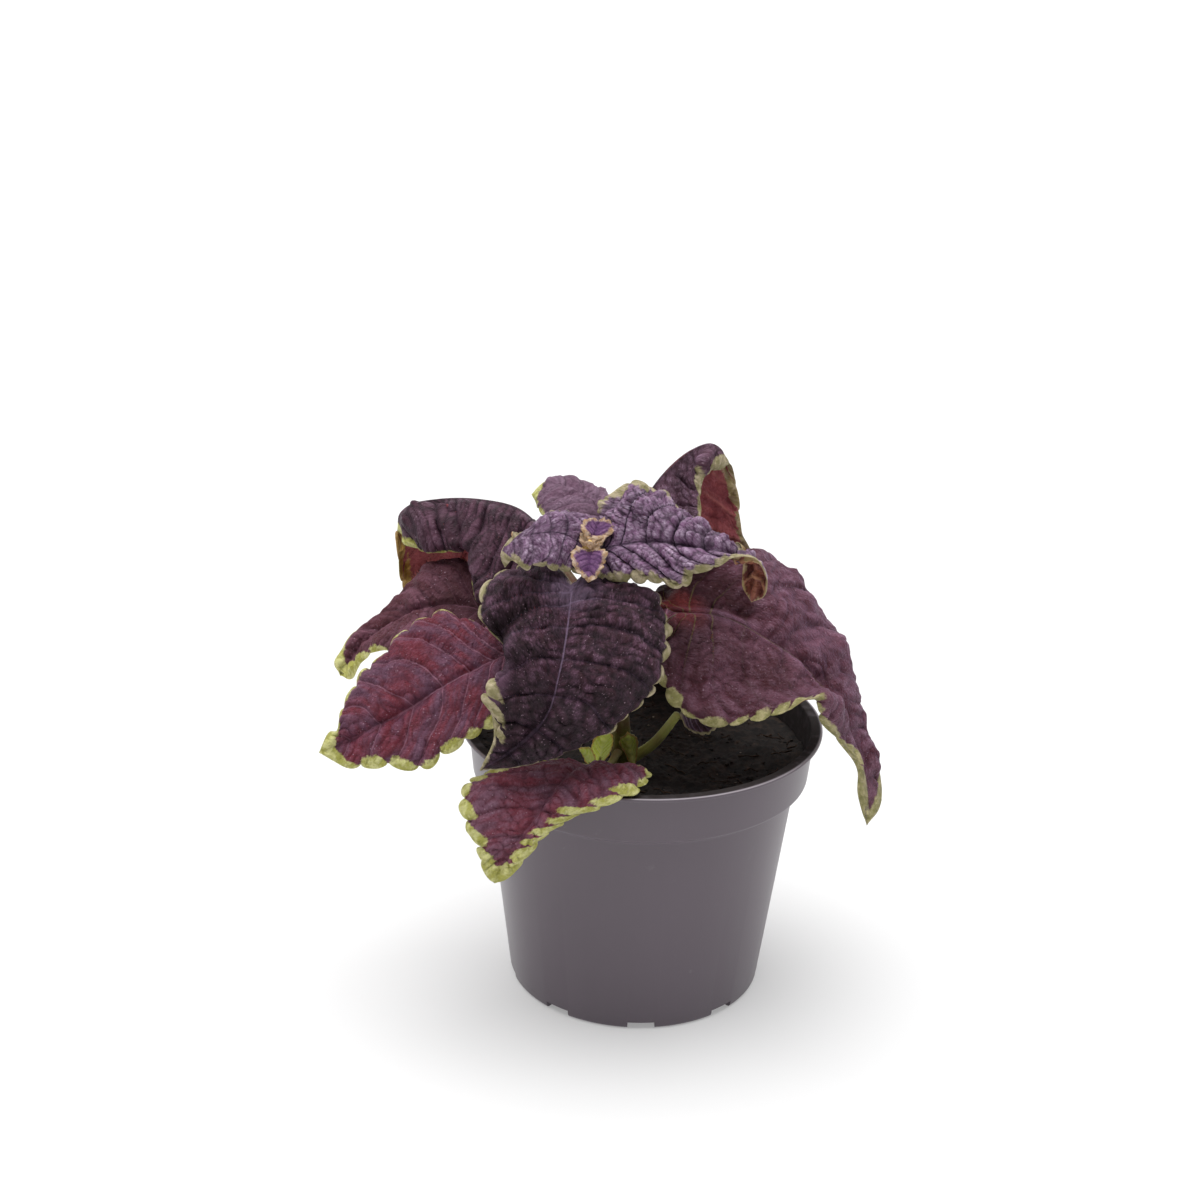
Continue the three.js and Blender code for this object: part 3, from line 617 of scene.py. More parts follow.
def closed_rings(rings, start, end):
    """Points and faces of a closed surface through rings, with a single point at each end."""
    sides = len(rings[0])
    faces = []
    for i in range(len(rings) - 1):
        for j in range(sides):
            a, b = i * sides + j, i * sides + (j + 1) % sides
            faces.append((a, b, b + sides, a + sides))
    first = len(rings) * sides
    for j in range(sides):
        k = (j + 1) % sides
        faces.append((k, j, first))
        faces.append((first - sides + j, first - sides + k, first + 1))
    return np.vstack([*rings, [start, end]]), faces


def tube(line, radii, sides, squareness=0.0):
    """A closed tube along a line. squareness makes its section squarish."""
    tangents = unit(np.gradient(line, axis=0))
    across = unit(np.cross(tangents[0], [0.31, 0.9, 0.3]))
    angles = np.arange(sides) * 2 * math.pi / sides
    section = 1 + squareness * (np.abs(np.cos(2 * angles)) - 1)
    rings = []
    for centre, tangent, radius in zip(line, tangents, radii):
        across = unit(across - dot(across, tangent) * tangent)
        other = np.cross(tangent, across)
        ring = np.cos(angles)[:, None] * across + np.sin(angles)[:, None] * other
        rings.append(centre + ring * (section * radius)[:, None])
    start = line[0] - tangents[0] * radii[0] * 0.5
    end = line[-1] + tangents[-1] * radii[-1] * 0.5
    return closed_rings(rings, start, end)


# ---- blades -------------------------------------------------------------------------------------

SIDES = ("right", "left")
ROW_STEP = 0.55  # size of a mesh cell along the margin
COLUMN_STEP = 0.75  # and across the blade
MOST_ROWS = 170
MOST_COLUMNS = 42  # on each side of the midrib
HALF_THICKNESS = 0.22
EDGE_HALF_THICKNESS = 0.1
TOOTH_REACH = 6.0  # how far in from the margin the teeth pull the blade
CURL_REACH = 5.0
SHOULDER_WIDTH = 7.0  # from the midrib to where the blade curls down
FOLDS_START = (2, 32)  # how far from the base the folds start, and reach their full depth
LINE_POINTS = 300  # for the distances to a line
FOLD_POINTS = 120

# Shares of the midrib where the lateral veins leave it, and of the margin where they reach it.
VEIN_STARTS = (-0.03, 0.0, 0.02, 0.1, 0.22, 0.36, 0.52, 0.69, 0.85, 1.0)
VEIN_ENDS = (0.0, 0.17, 0.32, 0.44, 0.54, 0.64, 0.74, 0.84, 0.93, 1.0)
VEIN_GROOVE = 0.7
MIDRIB_GROOVE = 0.9
VEIN_RIDGE = (0.22, 0.45)  # height and spread, on the under side
MIDRIB_RIDGE = (0.45, 0.7)
CELLS_ACROSS = 3.0  # bulges side by side between two lateral veins
RIBS_ACROSS = 4  # fine ribs between two lateral veins
RIB_PATCHES = 9  # size of the patches with and without ribs
BULGE_PATCHES = 12  # and of those with higher and lower bulges
BILLOW_SIZE = 20
LUMP_SIZE = 5.0
FINE_LUMP_SIZE = 1.9


def blade_lines(shape):
    """The midrib, and both margins from the top of the stalk to the tip."""
    base, tip = shape["midrib"][0], shape["midrib"][-1]
    margins = {side: catmull_rom([base, *shape[side], tip]) for side in SIDES}
    return catmull_rom(shape["midrib"]), margins


def blade_shares(shape):
    """Rows from base to tip and columns from the right margin to the left one."""
    middle, lines = blade_lines(shape)
    shares = np.linspace(0, 1, 20)
    halfway = at_shares(middle, shares)
    longest = max(length_along(line)[-1] for line in lines.values())
    widest = max(
        np.linalg.norm(at_shares(line, shares) - halfway, axis=1).max() for line in lines.values()
    )
    rows = int(np.clip(longest / ROW_STEP, 24, MOST_ROWS))
    columns = int(np.clip(widest / COLUMN_STEP, 10, MOST_COLUMNS))
    across = np.linspace(-1, 1, 2 * columns + 1)
    return np.linspace(0, 1, rows + 1), across - 0.07 * np.sin(2 * math.pi * across)


def blade_middle(shape, u, t, calm):
    """The blade's middle surface, with its outward direction, its half width and its margins."""
    middle, lines = blade_lines(shape)
    midrib = at_shares(middle, u)
    margins = {side: at_shares(line, u) for side, line in lines.items()}
    up = unit(np.cross(np.gradient(midrib, axis=0), margins["left"] - margins["right"]))
    up[0], up[-1] = up[1], up[-2]
    camber = shape.get("camber", SMALL_CAMBER)
    points = np.empty((len(u), len(t), 3))
    outwards = np.empty_like(points)
    widths = np.empty((len(u), len(t)))
    for j, share in enumerate(t):
        half = margins["right" if share < 0 else "left"] - midrib
        width = np.linalg.norm(half, axis=1, keepdims=True)
        outward = unit(half)
        outward[0], outward[-1] = outward[1], outward[-2]
        rise = unit(up - dot(up, outward) * outward)
        s = abs(share)
        bulge = 2 * camber * calm[0 if share < 0 else 1]
        points[:, j] = midrib + outward * s * width + rise * bulge * width * s * (1 - s)
        outwards[:, j] = outward
        widths[:, j] = width[:, 0]
    return points, outwards, widths, lines


def nearest(points, line):
    """Distance from each point to the nearest of a line's points."""
    flat = points.reshape(-1, 3)
    best = np.full(len(flat), 1e9)
    for p in line:
        best = np.minimum(best, np.sum((flat - p) ** 2, axis=1))
    return np.sqrt(best).reshape(points.shape[:-1])


def vein_index(u, t, slant, rng):
    """Counts the lateral veins: whole numbers lie on a vein."""
    index = np.empty((len(u), len(t)))
    numbers = np.arange(len(VEIN_STARTS))
    starts = np.array(VEIN_STARTS)
    shifts = [0.12 * wobble(u * 2, rng) for _ in SIDES]
    for j, share in enumerate(t):
        side = 0 if share < 0 else 1
        s = abs(share)
        ends = np.array(VEIN_ENDS) ** slant[side]
        sweep = 0.75 * s + 0.25 * s * s
        index[:, j] = np.interp(u, starts + (ends - starts) * sweep, numbers)
        index[:, j] += shifts[side] * smooth(s, 0, 0.4)
    return index


def surface_normals(points):
    lengthwise, crosswise = np.gradient(points, axis=0), np.gradient(points, axis=1)
    normals = unit(np.cross(lengthwise, crosswise))
    normals[0], normals[-1] = normals[1].mean(0), normals[-2].mean(0)
    return unit(normals)


def spacing(points, index):
    """Millimetres from one whole number of the index to the next, across the surface."""
    pu, pt = np.gradient(points, axis=0), np.gradient(points, axis=1)
    iu, it = np.gradient(index, axis=0), np.gradient(index, axis=1)
    uu, ut, tt = np.sum(pu * pu, -1), np.sum(pu * pt, -1), np.sum(pt * pt, -1)
    area = np.maximum(uu * tt - ut * ut, 1e-6)
    steep = (tt * iu * iu - 2 * ut * iu * it + uu * it * it) / area
    return np.clip(1 / np.sqrt(np.maximum(steep, 1e-6)), 0.5, 14)


def cell_net(a, b, rng):
    """0 on the borders between uneven cells, one to each unit of a and b, and up to 1 in them."""
    size = 64
    jitter = rng.uniform(0.08, 0.92, (size, size, 2))
    here_a, here_b = np.floor(a).astype(int), np.floor(b).astype(int)
    away = []
    for step_a in (-1, 0, 1):
        for step_b in (-1, 0, 1):
            cell_a, cell_b = here_a + step_a, here_b + step_b
            centre = jitter[cell_a % size, cell_b % size]
            away.append(np.hypot(cell_a + centre[..., 0] - a, cell_b + centre[..., 1] - b))
    away = np.sort(np.stack(away), axis=0)
    return away[1] - away[0]


def lobes(reach, pitch, rng):
    """The round lobes of a margin, 0 in a notch and about 1 on a lobe, and each one's paleness."""
    edges = [0.0]
    while edges[-1] < reach[-1]:
        edges.append(edges[-1] + pitch * rng.uniform(0.7, 1.3))
    edges = np.array(edges) * reach[-1] / edges[-1]
    number = np.clip(np.searchsorted(edges, reach, side="right") - 1, 0, len(edges) - 2)
    share = (reach - edges[number]) / (edges[number + 1] - edges[number])
    height = rng.uniform(0.7, 1.25, len(edges))[number]
    paleness = rng.uniform(0.55, 1.25, len(edges))[number]
    return height * np.sqrt(np.clip(1 - (2 * share - 1) ** 2, 0, 1)), paleness


def over_blade(left, right_values, left_values):
    """Each side's values, one to a row, over the whole blade."""
    return np.where(left, left_values[:, None], right_values[:, None])


def hollows(points, u, t, from_base, from_midrib, look):
    """How far a blade's folds and pits press it down."""
    left = t[None, :] > 0
    hollow = np.zeros_like(from_base)
    path = np.linspace(0, 1, FOLD_POINTS)
    for side, share, depth, spread in look["folds"]:
        rows = np.round(path * share * (len(u) - 1)).astype(int)
        columns = np.searchsorted(t, path * (0.999 if side == "left" else -0.999))
        aside = nearest(points, points[rows, columns])
        fold = depth * bell(aside, spread) * smooth(from_base, *FOLDS_START)
        hollow += np.where(left == (side == "left"), fold, 0)
    for side, reach, depth in look["pits"]:
        pit = depth * smooth(from_base, reach, 0.6 * reach) * smooth(from_midrib, 0.5, 5)
        hollow += np.where(left == (side == "left"), pit, 0)
    return hollow


def blade_mesh(shape, look, seed):
    """Points, faces, face slots and attributes of one blade as a thin closed solid."""
    rng = np.random.default_rng(seed)
    u, t = blade_shares(shape)
    points, outwards, widths, lines = blade_middle(shape, u, t, look["calm"])
    normals = surface_normals(points)
    along = u[:, None] * np.ones_like(t)
    left = t[None, :] > 0

    close = np.linspace(0, 1, LINE_POINTS)
    midrib = catmull_rom(shape["midrib"])
    outward = np.abs(t) * widths
    from_base = np.linalg.norm(points - points[0, 0], axis=-1)
    from_midrib = np.minimum(nearest(points, at_shares(midrib, close)), outward)
    rims = [nearest(points, at_shares(lines[side], close)) for side in SIDES]
    rim = np.minimum(np.where(left, rims[1], rims[0]), widths - outward + 0.02)

    index = vein_index(u, t, look["slant"], rng)
    gap = spacing(points, index)
    from_vein = np.abs(index - np.round(index)) * gap
    warp = 0.35 * lumps(points, rng, 2.5 * look["cell"])
    net = cell_net(CELLS_ACROSS * index + warp, from_midrib / look["cell"] + warp + 31 * left, rng)

    # teeth along both margins
    reach = [u * length_along(lines[side])[-1] for side in SIDES]
    teeth = [lobes(line, look["pitch"], rng) for line in reach]
    tooth, paleness = (over_blade(left, *values) for values in zip(*teeth))
    ends = (smooth(u, 0.0, 0.05) * smooth(u, 1.0, 0.97))[:, None]
    pull = np.clip(1 - rim / TOOTH_REACH, 0, 1) ** 2 * ends
    room = smooth(np.where(left, widths[:, -1:], widths[:, :1]) / widths.max(), 0.05, 0.45)
    push = (tooth - 0.7) * look["tooth"] * room * smooth(along, 0.97, 0.8)
    for side, share, depth, spread in look["dents"]:
        push -= np.where(left == (side == "left"), depth * bell(along - share, spread), 0)
    forward = unit(np.gradient(points, axis=0))
    forward[0] = forward[1]
    moved = points + outwards * (push * pull)[..., None]
    moved += forward * (tooth * 0.25 * look["tooth"] * pull)[..., None]

    # waves along the margin, and the blade's shoulder where it curls down to its margin
    turn = np.clip(1 - rim / CURL_REACH, 0, 1) ** 2
    wave = over_blade(left, *(wobble(line / (2.6 * look["pitch"]), rng) for line in reach))
    calm, curl = (np.where(left, look[key][1], look[key][0]) for key in ("calm", "curl"))
    shoulder = curl * (1 - turn) * smooth(from_midrib, 0.5, SHOULDER_WIDTH)
    lift = (look["wave"] * wave - 0.9 * curl * tooth) * turn + shoulder
    hollow = hollows(points, u, t, from_base, from_midrib, look)
    lift = (lift * room - hollow) * ends * calm

    # veins, the bulges and fine ribs between them, and uneven lumps
    inside = smooth(rim, 0.2, 2.5) * ends
    beside = inside * smooth(from_midrib, 0.3, 2.5)
    arch = np.abs(np.sin(math.pi * index)) ** 0.8
    rib = np.abs(np.sin(math.pi * (RIBS_ACROSS * index + 0.5 * warp))) ** 0.8
    ribbed = look["ribs"] * smooth(lumps(points, rng, RIB_PATCHES), -1.0, 0.6)
    relief = (look["arch"] * arch + look["quilt"] * smooth(net, 0.0, 0.45)) * beside
    relief *= calm + (1 - calm) * smooth(from_midrib, 6, 16)
    relief *= 1 + 0.5 * lumps(points, rng, BULGE_PATCHES)
    relief -= look["sunk"] * bell(from_vein, VEIN_GROOVE) * inside
    relief -= look["sunk"] * bell(from_midrib, MIDRIB_GROOVE) * ends
    relief += look["billow"] * lumps(points, rng, BILLOW_SIZE) * inside
    relief += look["lumpy"] * lumps(points, rng, LUMP_SIZE) * inside
    relief += 0.3 * look["lumpy"] * lumps(points, rng, FINE_LUMP_SIZE) * inside
    relief += ribbed * rib * beside

    # a blade folded along its midrib keeps its relief away from the fold
    openness = smooth(-dot(outwards[:, 0], outwards[:, -1]), 0.0, 0.9)
    openness = openness + (1 - openness) * smooth(from_midrib, 1.0, 5.0)
    middle = moved + normals * (lift + relief * openness)[..., None]

    facing = surface_normals(middle)
    half = EDGE_HALF_THICKNESS + (HALF_THICKNESS - EDGE_HALF_THICKNESS) * smooth(rim, 0, 1.2)
    ridge = VEIN_RIDGE[0] * bell(from_vein, VEIN_RIDGE[1]) * inside * smooth(gap, 1.0, 2.5)
    ridge += MIDRIB_RIDGE[0] * bell(from_midrib, MIDRIB_RIDGE[1]) * smooth(along, 1.0, 0.8)
    upper = middle + facing * half[..., None]
    lower = middle - facing * (half + ridge * openness)[..., None]

    wide = (np.interp(u, np.linspace(0, 1, len(look[side])), look[side]) for side in SIDES)
    lobe = look["notch"] + (1 - look["notch"]) * smooth(tooth, 0.1, 1.0) * paleness
    lobe = lobe + (1 - lobe) * smooth(along, 0.8, 0.95)
    flat = np.stack([along * length_along(midrib)[-1], t * widths, 0 * along], -1)
    return closed_sheet(upper, lower, {
        "sheet": look["grain"] * flat,
        "streak": np.stack([index + 20 * left, from_midrib / 16, 0 * along], -1),
        "vein_index": index,
        "vein_gap": gap,
        "net": net * (1 - smooth(ribbed, 0, 0.5) * (1 - rib)),
        "from_midrib": from_midrib,
        "from_base": from_base,
        "along": along,
        "hollow": hollow,
        "pale": over_blade(left, *wide) * lobe - rim,
    })


def closed_sheet(upper, lower, layers):
    """Points, faces, face slots and attributes of a thin solid between two grids of points that
    both start and end in a single point. Its under side has slot 1."""
    rows, columns = upper.shape[:2]
    number = np.arange(rows * columns).reshape(rows, columns)
    number[0], number[-1] = number[0, 0], number[-1, 0]
    kept = np.ones((rows, columns), bool)
    kept[0, 1:] = kept[-1, 1:] = False
    kept = kept.ravel()
    number = (np.cumsum(kept) - 1)[number]
    count = int(kept.sum())
    faces = []
    for i in range(rows - 1):
        for j in range(columns - 1):
            corners = [number[i, j], number[i + 1, j], number[i + 1, j + 1], number[i, j + 1]]
            faces.append(tuple(int(c) for k, c in enumerate(corners) if c != corners[k - 1]))
    under = [tuple(c + count for c in reversed(face)) for face in faces]
    walls = []
    for i in range(rows - 1):
        for side in (0, -1):
            a, b = int(number[i, side]), int(number[i + 1, side])
            walls.append((a, b, b + count, a + count) if side else (b, a, a + count, b + count))
    slots = [0] * len(faces) + [1] * len(under) + [0] * len(walls)
    points = np.vstack([grid.reshape(-1, 3)[kept] for grid in (upper, lower)])
    values = {}
    for key, layer in layers.items():
        one_side = layer.reshape(rows * columns, *layer.shape[2:])[kept]
        values[key] = np.concatenate([one_side, one_side])
    return points, faces + under + walls, slots, values


# ---- materials ----------------------------------------------------------------------------------

def screen(red, green, blue):
    """A colour on a screen, 0 to 255, as a linear colour with alpha."""
    shares = (c / 255 for c in (red, green, blue))
    linear = [c / 12.92 if c <= 0.04045 else ((c + 0.055) / 1.055) ** 2.4 for c in shares]
    return (*linear, 1.0)


SHADE = 0.4  # darkness of the colour for dark spots and painted shade, as a part of the blade's own colour
UNDER_SIDE = (0.15, 0.15, 0.05)  # its bloom with painted highlight, painted crease shade and down
PATCH_SCALE = 1.6  # of the noise in soft patches along the veins
MOTTLE_SCALE = 0.35  # and, for each millimetre, of the broad and the fine spots
FINE_SCALE = 1.3
FLECKS = screen(132, 116, 68)
RUST = screen(190, 116, 54)
GLANDS = screen(186, 156, 172)
DOWN = screen(190, 165, 205)


class Finish:
    """One material, the nodes that drive its shader, and its colour so far."""

    def __init__(self, name, colour):
        self.material = bpy.data.materials.new(name)
        self.material.use_nodes = True
        self.tree = self.material.node_tree
        self.shader = self.tree.nodes["Principled BSDF"]
        self.colour = colour

    def put(self, socket, value):
        if isinstance(value, bpy.types.NodeSocket):
            self.tree.links.new(value, socket)
        else:
            socket.default_value = value

    def node(self, kind, values, **settings):
        made = self.tree.nodes.new(kind)
        for key, value in settings.items():
            setattr(made, key, value)
        for key, value in values.items():
            self.put(made.inputs[key], value)
        return made

    def math(self, operation, a, b):
        return self.node("ShaderNodeMath", {0: a, 1: b}, operation=operation).outputs[0]

    def add(self, a, b):
        return self.math("ADD", a, b)

    def times(self, first, *factors):
        for factor in factors:
            first = self.math("MULTIPLY", first, factor)
        return first

    def vector_math(self, operation, a, b=(0, 0, 0), output="Vector"):
        made = self.node("ShaderNodeVectorMath", {0: a, 1: b}, operation=operation)
        return made.outputs[output]

    def mix(self, share, a, b):
        """Colour a where share is 0, and colour b where it is 1."""
        return self.node("ShaderNodeMix", {0: share, 6: a, 7: b}, data_type="RGBA").outputs[2]

    def paint(self, colour, share):
        """Lays a colour over the ones before it, where share is 1."""
        self.colour = self.mix(share, self.colour, colour)

    def smooth(self, value, low, high, start=0.0, end=1.0):
        values = {
            "Value": value, "From Min": low, "From Max": high, "To Min": start, "To Max": end,
        }
        made = self.node("ShaderNodeMapRange", values, interpolation_type="SMOOTHSTEP")
        return made.outputs["Result"]

    def layer(self, name, output="Fac"):
        made = self.node("ShaderNodeAttribute", {}, attribute_type="GEOMETRY", attribute_name=name)
        return made.outputs[output]

    def place(self):
        """Where a point is on the object, in metres."""
        return self.node("ShaderNodeTexCoord", {}).outputs["Object"]

    def part(self, vector, axis):
        return self.node("ShaderNodeSeparateXYZ", {0: vector}).outputs[axis]

    def noise(self, vector, scale, detail=2.0, roughness=0.5):
        values = {"Vector": vector, "Scale": scale, "Detail": detail, "Roughness": roughness}
        return self.node("ShaderNodeTexNoise", values).outputs[0]

    def cells(self, vector, scale, output="Distance"):
        values = {"Vector": vector, "Scale": scale}
        return self.node("ShaderNodeTexVoronoi", values).outputs[output]

    def bump(self, height, distance, strength):
        values = {"Height": height, "Distance": distance, "Strength": strength}
        self.put(self.shader.inputs["Normal"], self.node("ShaderNodeBump", values).outputs[0])

    def shade(self, **values):
        self.put(self.shader.inputs["Base Color"], self.colour)
        for key, value in values.items():
            self.put(self.shader.inputs[key.replace("_", " ")], value)
        return self.material


def blade_finish(name, look, upper_side):
    """The skin of a blade's upper or under side."""
    tone = TONES[look["tone"]]
    first, second = (screen(*c) for c in tone["upper" if upper_side else "under"])
    vein = screen(*tone["vein" if upper_side else "under_vein"])
    sheen = screen(*tone["bloom_and_highlight"])
    dark_and_shade = tuple(c * SHADE for c in first[:3]) + (1.0,)
    upper = (look["bloom_and_highlight"], look["crease"], look["down"])
    bloom_and_highlight, crease, down = upper if upper_side else UNDER_SIDE

    finish = Finish(name, first)
    sheet = finish.layer("sheet", "Vector")
    patches = finish.noise(finish.layer("streak", "Vector"), PATCH_SCALE, 3, 0.6)
    mottle = finish.noise(sheet, MOTTLE_SCALE, 3, 0.65)
    fine = finish.noise(sheet, FINE_SCALE, 3, 0.75)
    keys = ("along", "net", "hollow", "from_base", "from_midrib", "vein_index", "vein_gap")
    along, net, hollow, from_base, from_midrib, index, gap = (finish.layer(key) for key in keys)
    from_vein = finish.math("PINGPONG", index, 0.5)

    # soft patches and dark spots, painted shade in the creases between the bulges and beside the
    # veins, and a pale bloom of down with a painted highlight on the bulges
    finish.paint(second, finish.smooth(patches, 0.36, 0.64))
    finish.paint(dark_and_shade, finish.smooth(fine, 0.55, 0.3, 0, 0.35))
    finish.paint(dark_and_shade, finish.smooth(net, 0.24, 0.0, 0, crease))
    finish.paint(dark_and_shade, finish.smooth(from_vein, 0.16, 0.02, 0, 0.6 * crease))
    bloom_and_highlight_mask = finish.times(
        finish.smooth(fine, 0.4, 0.66, 0.3, 1.0), finish.smooth(mottle, 0.3, 0.62),
        finish.smooth(net, 0.1, 0.6, 0.3, 1.0), bloom_and_highlight,
    )
    finish.paint(sheen, bloom_and_highlight_mask)

    # painted shade along stretches of the blade and in its hollows, and painted highlight on
    # ridges
    dark_from, dark_to, darkness = look["deep"]
    finish.paint(dark_and_shade, finish.smooth(along, dark_from, dark_to, 0, darkness))
    finish.paint(dark_and_shade, finish.smooth(hollow, 0.3, 4.0, 0, 0.7))
    finish.paint(sheen, finish.smooth(hollow, -0.3, -2.5, 0, 0.35))

    # a flush round the base, and the veins
    if upper_side:
        uneven = finish.smooth(mottle, 0.3, 0.6, 0.5, 1.0)
        flush = finish.times(finish.smooth(from_base, 13, 2), uneven, look["star"])
        finish.paint(screen(*tone["base"]), flush)
    lateral = finish.smooth(finish.times(from_vein, gap), 0.4, 0.1)
    shown = finish.smooth(from_base, look["reach"], 3, look["vein"], look["vein"] + 0.55)
    finish.paint(vein, finish.times(lateral, shown))
    shown = finish.math("MAXIMUM", finish.smooth(from_base, look["reach"], 3), look["midrib"])
    midrib = finish.times(finish.smooth(from_midrib, 0.42, 0.12), shown)
    finish.paint(vein, finish.times(midrib, finish.smooth(along, 0.8, 0.3, 0.15, 0.75)))

    # pale margin with a ragged, flecked inner edge
    pale_first, pale_second = (screen(*c) for c in PALES[look["pale"]])
    pale = finish.mix(finish.smooth(mottle, 0.4, 0.62), pale_first, pale_second)
    pale = finish.mix(finish.smooth(fine, 0.45, 0.3, 0, 0.25), pale, FLECKS)
    if not upper_side:
        pale = finish.mix(look["rust"], pale, RUST)
    ragged = finish.add(finish.noise(sheet, 0.5, 4, 0.65), finish.times(fine, 0.5))
    reach = finish.add(finish.layer("pale"), finish.times(ragged, look["ragged"]))
    usual = 0.75 * look["ragged"]  # what the noise adds halfway between its ends
    finish.paint(pale, finish.smooth(reach, usual - 0.4, usual + 0.5))

    # tiny white glands
    if upper_side:
        some = finish.smooth(finish.noise(sheet, 0.25), 0.42, 0.6)
        specks = finish.smooth(finish.cells(sheet, 1.0), 0.2, 0.1, 0, 0.55)
        finish.paint(GLANDS, finish.times(specks, some))

    finish.bump(finish.add(fine, finish.times(mottle, 1.4)), 0.0009, 1.0)
    return finish.shade(
        Roughness=finish.smooth(mottle, 0.3, 0.7, 0.4, 0.55),
        # a painted glow, standing in for light that comes through a thin leaf
        Emission_Color=finish.colour,
        Emission_Strength=look["glow"],
        Specular_IOR_Level=0.22,
        Sheen_Weight=finish.smooth(hollow, 2.5, 0.0, 0, down),
        Sheen_Roughness=0.45,
        Sheen_Tint=DOWN,
    )


def stalk_finish(name, green, flush):
    """A fresh stem with a fine down."""
    finish = Finish(name, screen(*green))
    place = finish.place()
    fine = finish.noise(place, 900, 2)
    finish.paint(screen(*flush), finish.smooth(finish.noise(place, 90, 3), 0.42, 0.68))
    finish.paint(screen(168, 160, 120), finish.smooth(fine, 0.5, 0.8, 0, 0.35))
    finish.bump(fine, 0.0002, 0.6)
    return finish.shade(
        Roughness=0.5, Specular_IOR_Level=0.4, Sheen_Weight=0.15, Sheen_Roughness=0.4
    )


def pot_finish():
    """Satin moulded plastic, taupe grey, with faint flow marks and scuffs, a painted highlight
    along the lip's outer edge, and compost smear with painted shade over its inner wall and the
    inner half of its lip."""
    finish = Finish("pot_plastic", screen(90, 81, 89))
    place = finish.place()
    upright = {"Vector": place, "Scale": (1, 1, 0.25)}
    stretched = finish.node("ShaderNodeMapping", upright).outputs[0]
    cloud = finish.noise(stretched, 30, 3)
    finish.paint(screen(100, 89, 99), cloud)
    scuff = finish.smooth(finish.noise(place, 160, 4, 0.7), 0.66, 0.78, 0, 0.2)
    finish.paint(screen(140, 132, 138), scuff)

    # compost smear together with painted shade, darkening the inner wall and the inner part of the
    # lip
    flat = finish.vector_math("MULTIPLY", place, (1, 1, 0))
    radius = finish.vector_math("LENGTH", flat, output="Value")
    normal = finish.node("ShaderNodeNewGeometry", {}).outputs["Normal"]
    outward = finish.vector_math("DOT_PRODUCT", flat, normal, "Value")
    outward = finish.math("DIVIDE", outward, radius)
    wall = finish.smooth(outward, 0.0, -0.5)
    on_lip = finish.smooth(radius, (LIP_RADIUS - 0.3) * MM, (LIP_RADIUS - 1.2) * MM)
    lip = finish.times(finish.smooth(outward, 0.6, 0.3), on_lip)
    high = finish.smooth(finish.part(place, "Z"), *(height * MM for height in SMEAR_AND_SHADE_HEIGHTS))
    patchiness = finish.smooth(finish.noise(place, 240, 3), 0.25, 0.55, 0.75, 0.97)
    smear_and_shade = finish.times(finish.math("MAXIMUM", wall, lip), high, patchiness)
    finish.paint(screen(34, 27, 25), smear_and_shade)
    # a painted highlight along the lip's rounded outer edge, where it faces up
    edge = finish.smooth(radius, (LIP_RADIUS - 0.8) * MM, (LIP_RADIUS - 0.3) * MM, 0, 0.5)
    painted_highlight = finish.times(edge, finish.smooth(finish.part(normal, "Z"), 0.3, 0.8))
    finish.paint(screen(206, 198, 204), painted_highlight)
    finish.bump(finish.add(finish.noise(place, 1800, 2), finish.times(cloud, 2.0)), 0.00004, 0.6)
    clean = finish.smooth(cloud, 0.3, 0.7, 0.3, 0.38)
    return finish.shade(Roughness=finish.math("MAXIMUM", clean, smear_and_shade), Specular_IOR_Level=0.5)


def compost_finish():
    """Moist, nearly black crumbs with a few browner ones."""
    finish = Finish("compost", screen(36, 33, 32))
    place = finish.place()
    finish.paint(screen(50, 44, 41), finish.smooth(finish.cells(place, 420, "Color"), 0.3, 0.8))
    brown = finish.smooth(finish.noise(place, 260, 3), 0.52, 0.72, 0, 0.5)
    finish.paint(screen(74, 60, 50), brown)
    finish.bump(finish.noise(place, 1500, 3, 0.7), 0.0003, 1.0)
    return finish.shade(Roughness=0.85, Specular_IOR_Level=0.25)


def plain_finish(name, dark, light, scale, roughness):
    """Two colours mixed by noise."""
    finish = Finish(name, screen(*dark))
    grain = finish.noise(finish.place(), scale, 4, 0.65)
    finish.paint(screen(*light), finish.smooth(grain, 0.35, 0.65))
    finish.bump(grain, 0.0002, 0.7)
    return finish.shade(Roughness=roughness, Specular_IOR_Level=0.3)


# ---- pot ----------------------------------------------------------------------------------------

LIP_RADIUS = 60.0
POT_HEIGHT = 92.7
LIP_THICKNESS = 1.1
BAND_TOP_RADIUS = 57.5
BAND_BOTTOM_RADIUS = 55.9
BAND_BOTTOM = 75.8
BODY_TOP_RADIUS = 51.9
BODY_TOP = 73.8
FOOT_RADIUS = 42.6
WALL = 1.3
FLOOR = 4.0
POCKETS = 9
POCKET_WIDTH = 9.0
POCKET_HEIGHT = 2.5
POCKET_INNER_RADIUS = 33.0
FIRST_POCKET = -87.0  # degrees round the axis
DRAIN_RADIUS = 1.8
POT_SPOKES = 252
CRISP_ANGLE = 40  # degrees
SMEAR_AND_SHADE_HEIGHTS = (68.0, 72.0)  # compost smear and painted shade darken the wall above these


def corner(before, point, after, radius, steps=4):
    """A rounded corner of an outline, as points on a curve inside it."""
    p = np.array(point, float)
    start = p + unit(np.array(before, float) - p) * radius
    end = p + unit(np.array(after, float) - p) * radius
    w = np.linspace(0, 1, steps + 1)[:, None]
    return [tuple(q) for q in (1 - w) ** 2 * start + 2 * w * (1 - w) * p + w**2 * end]


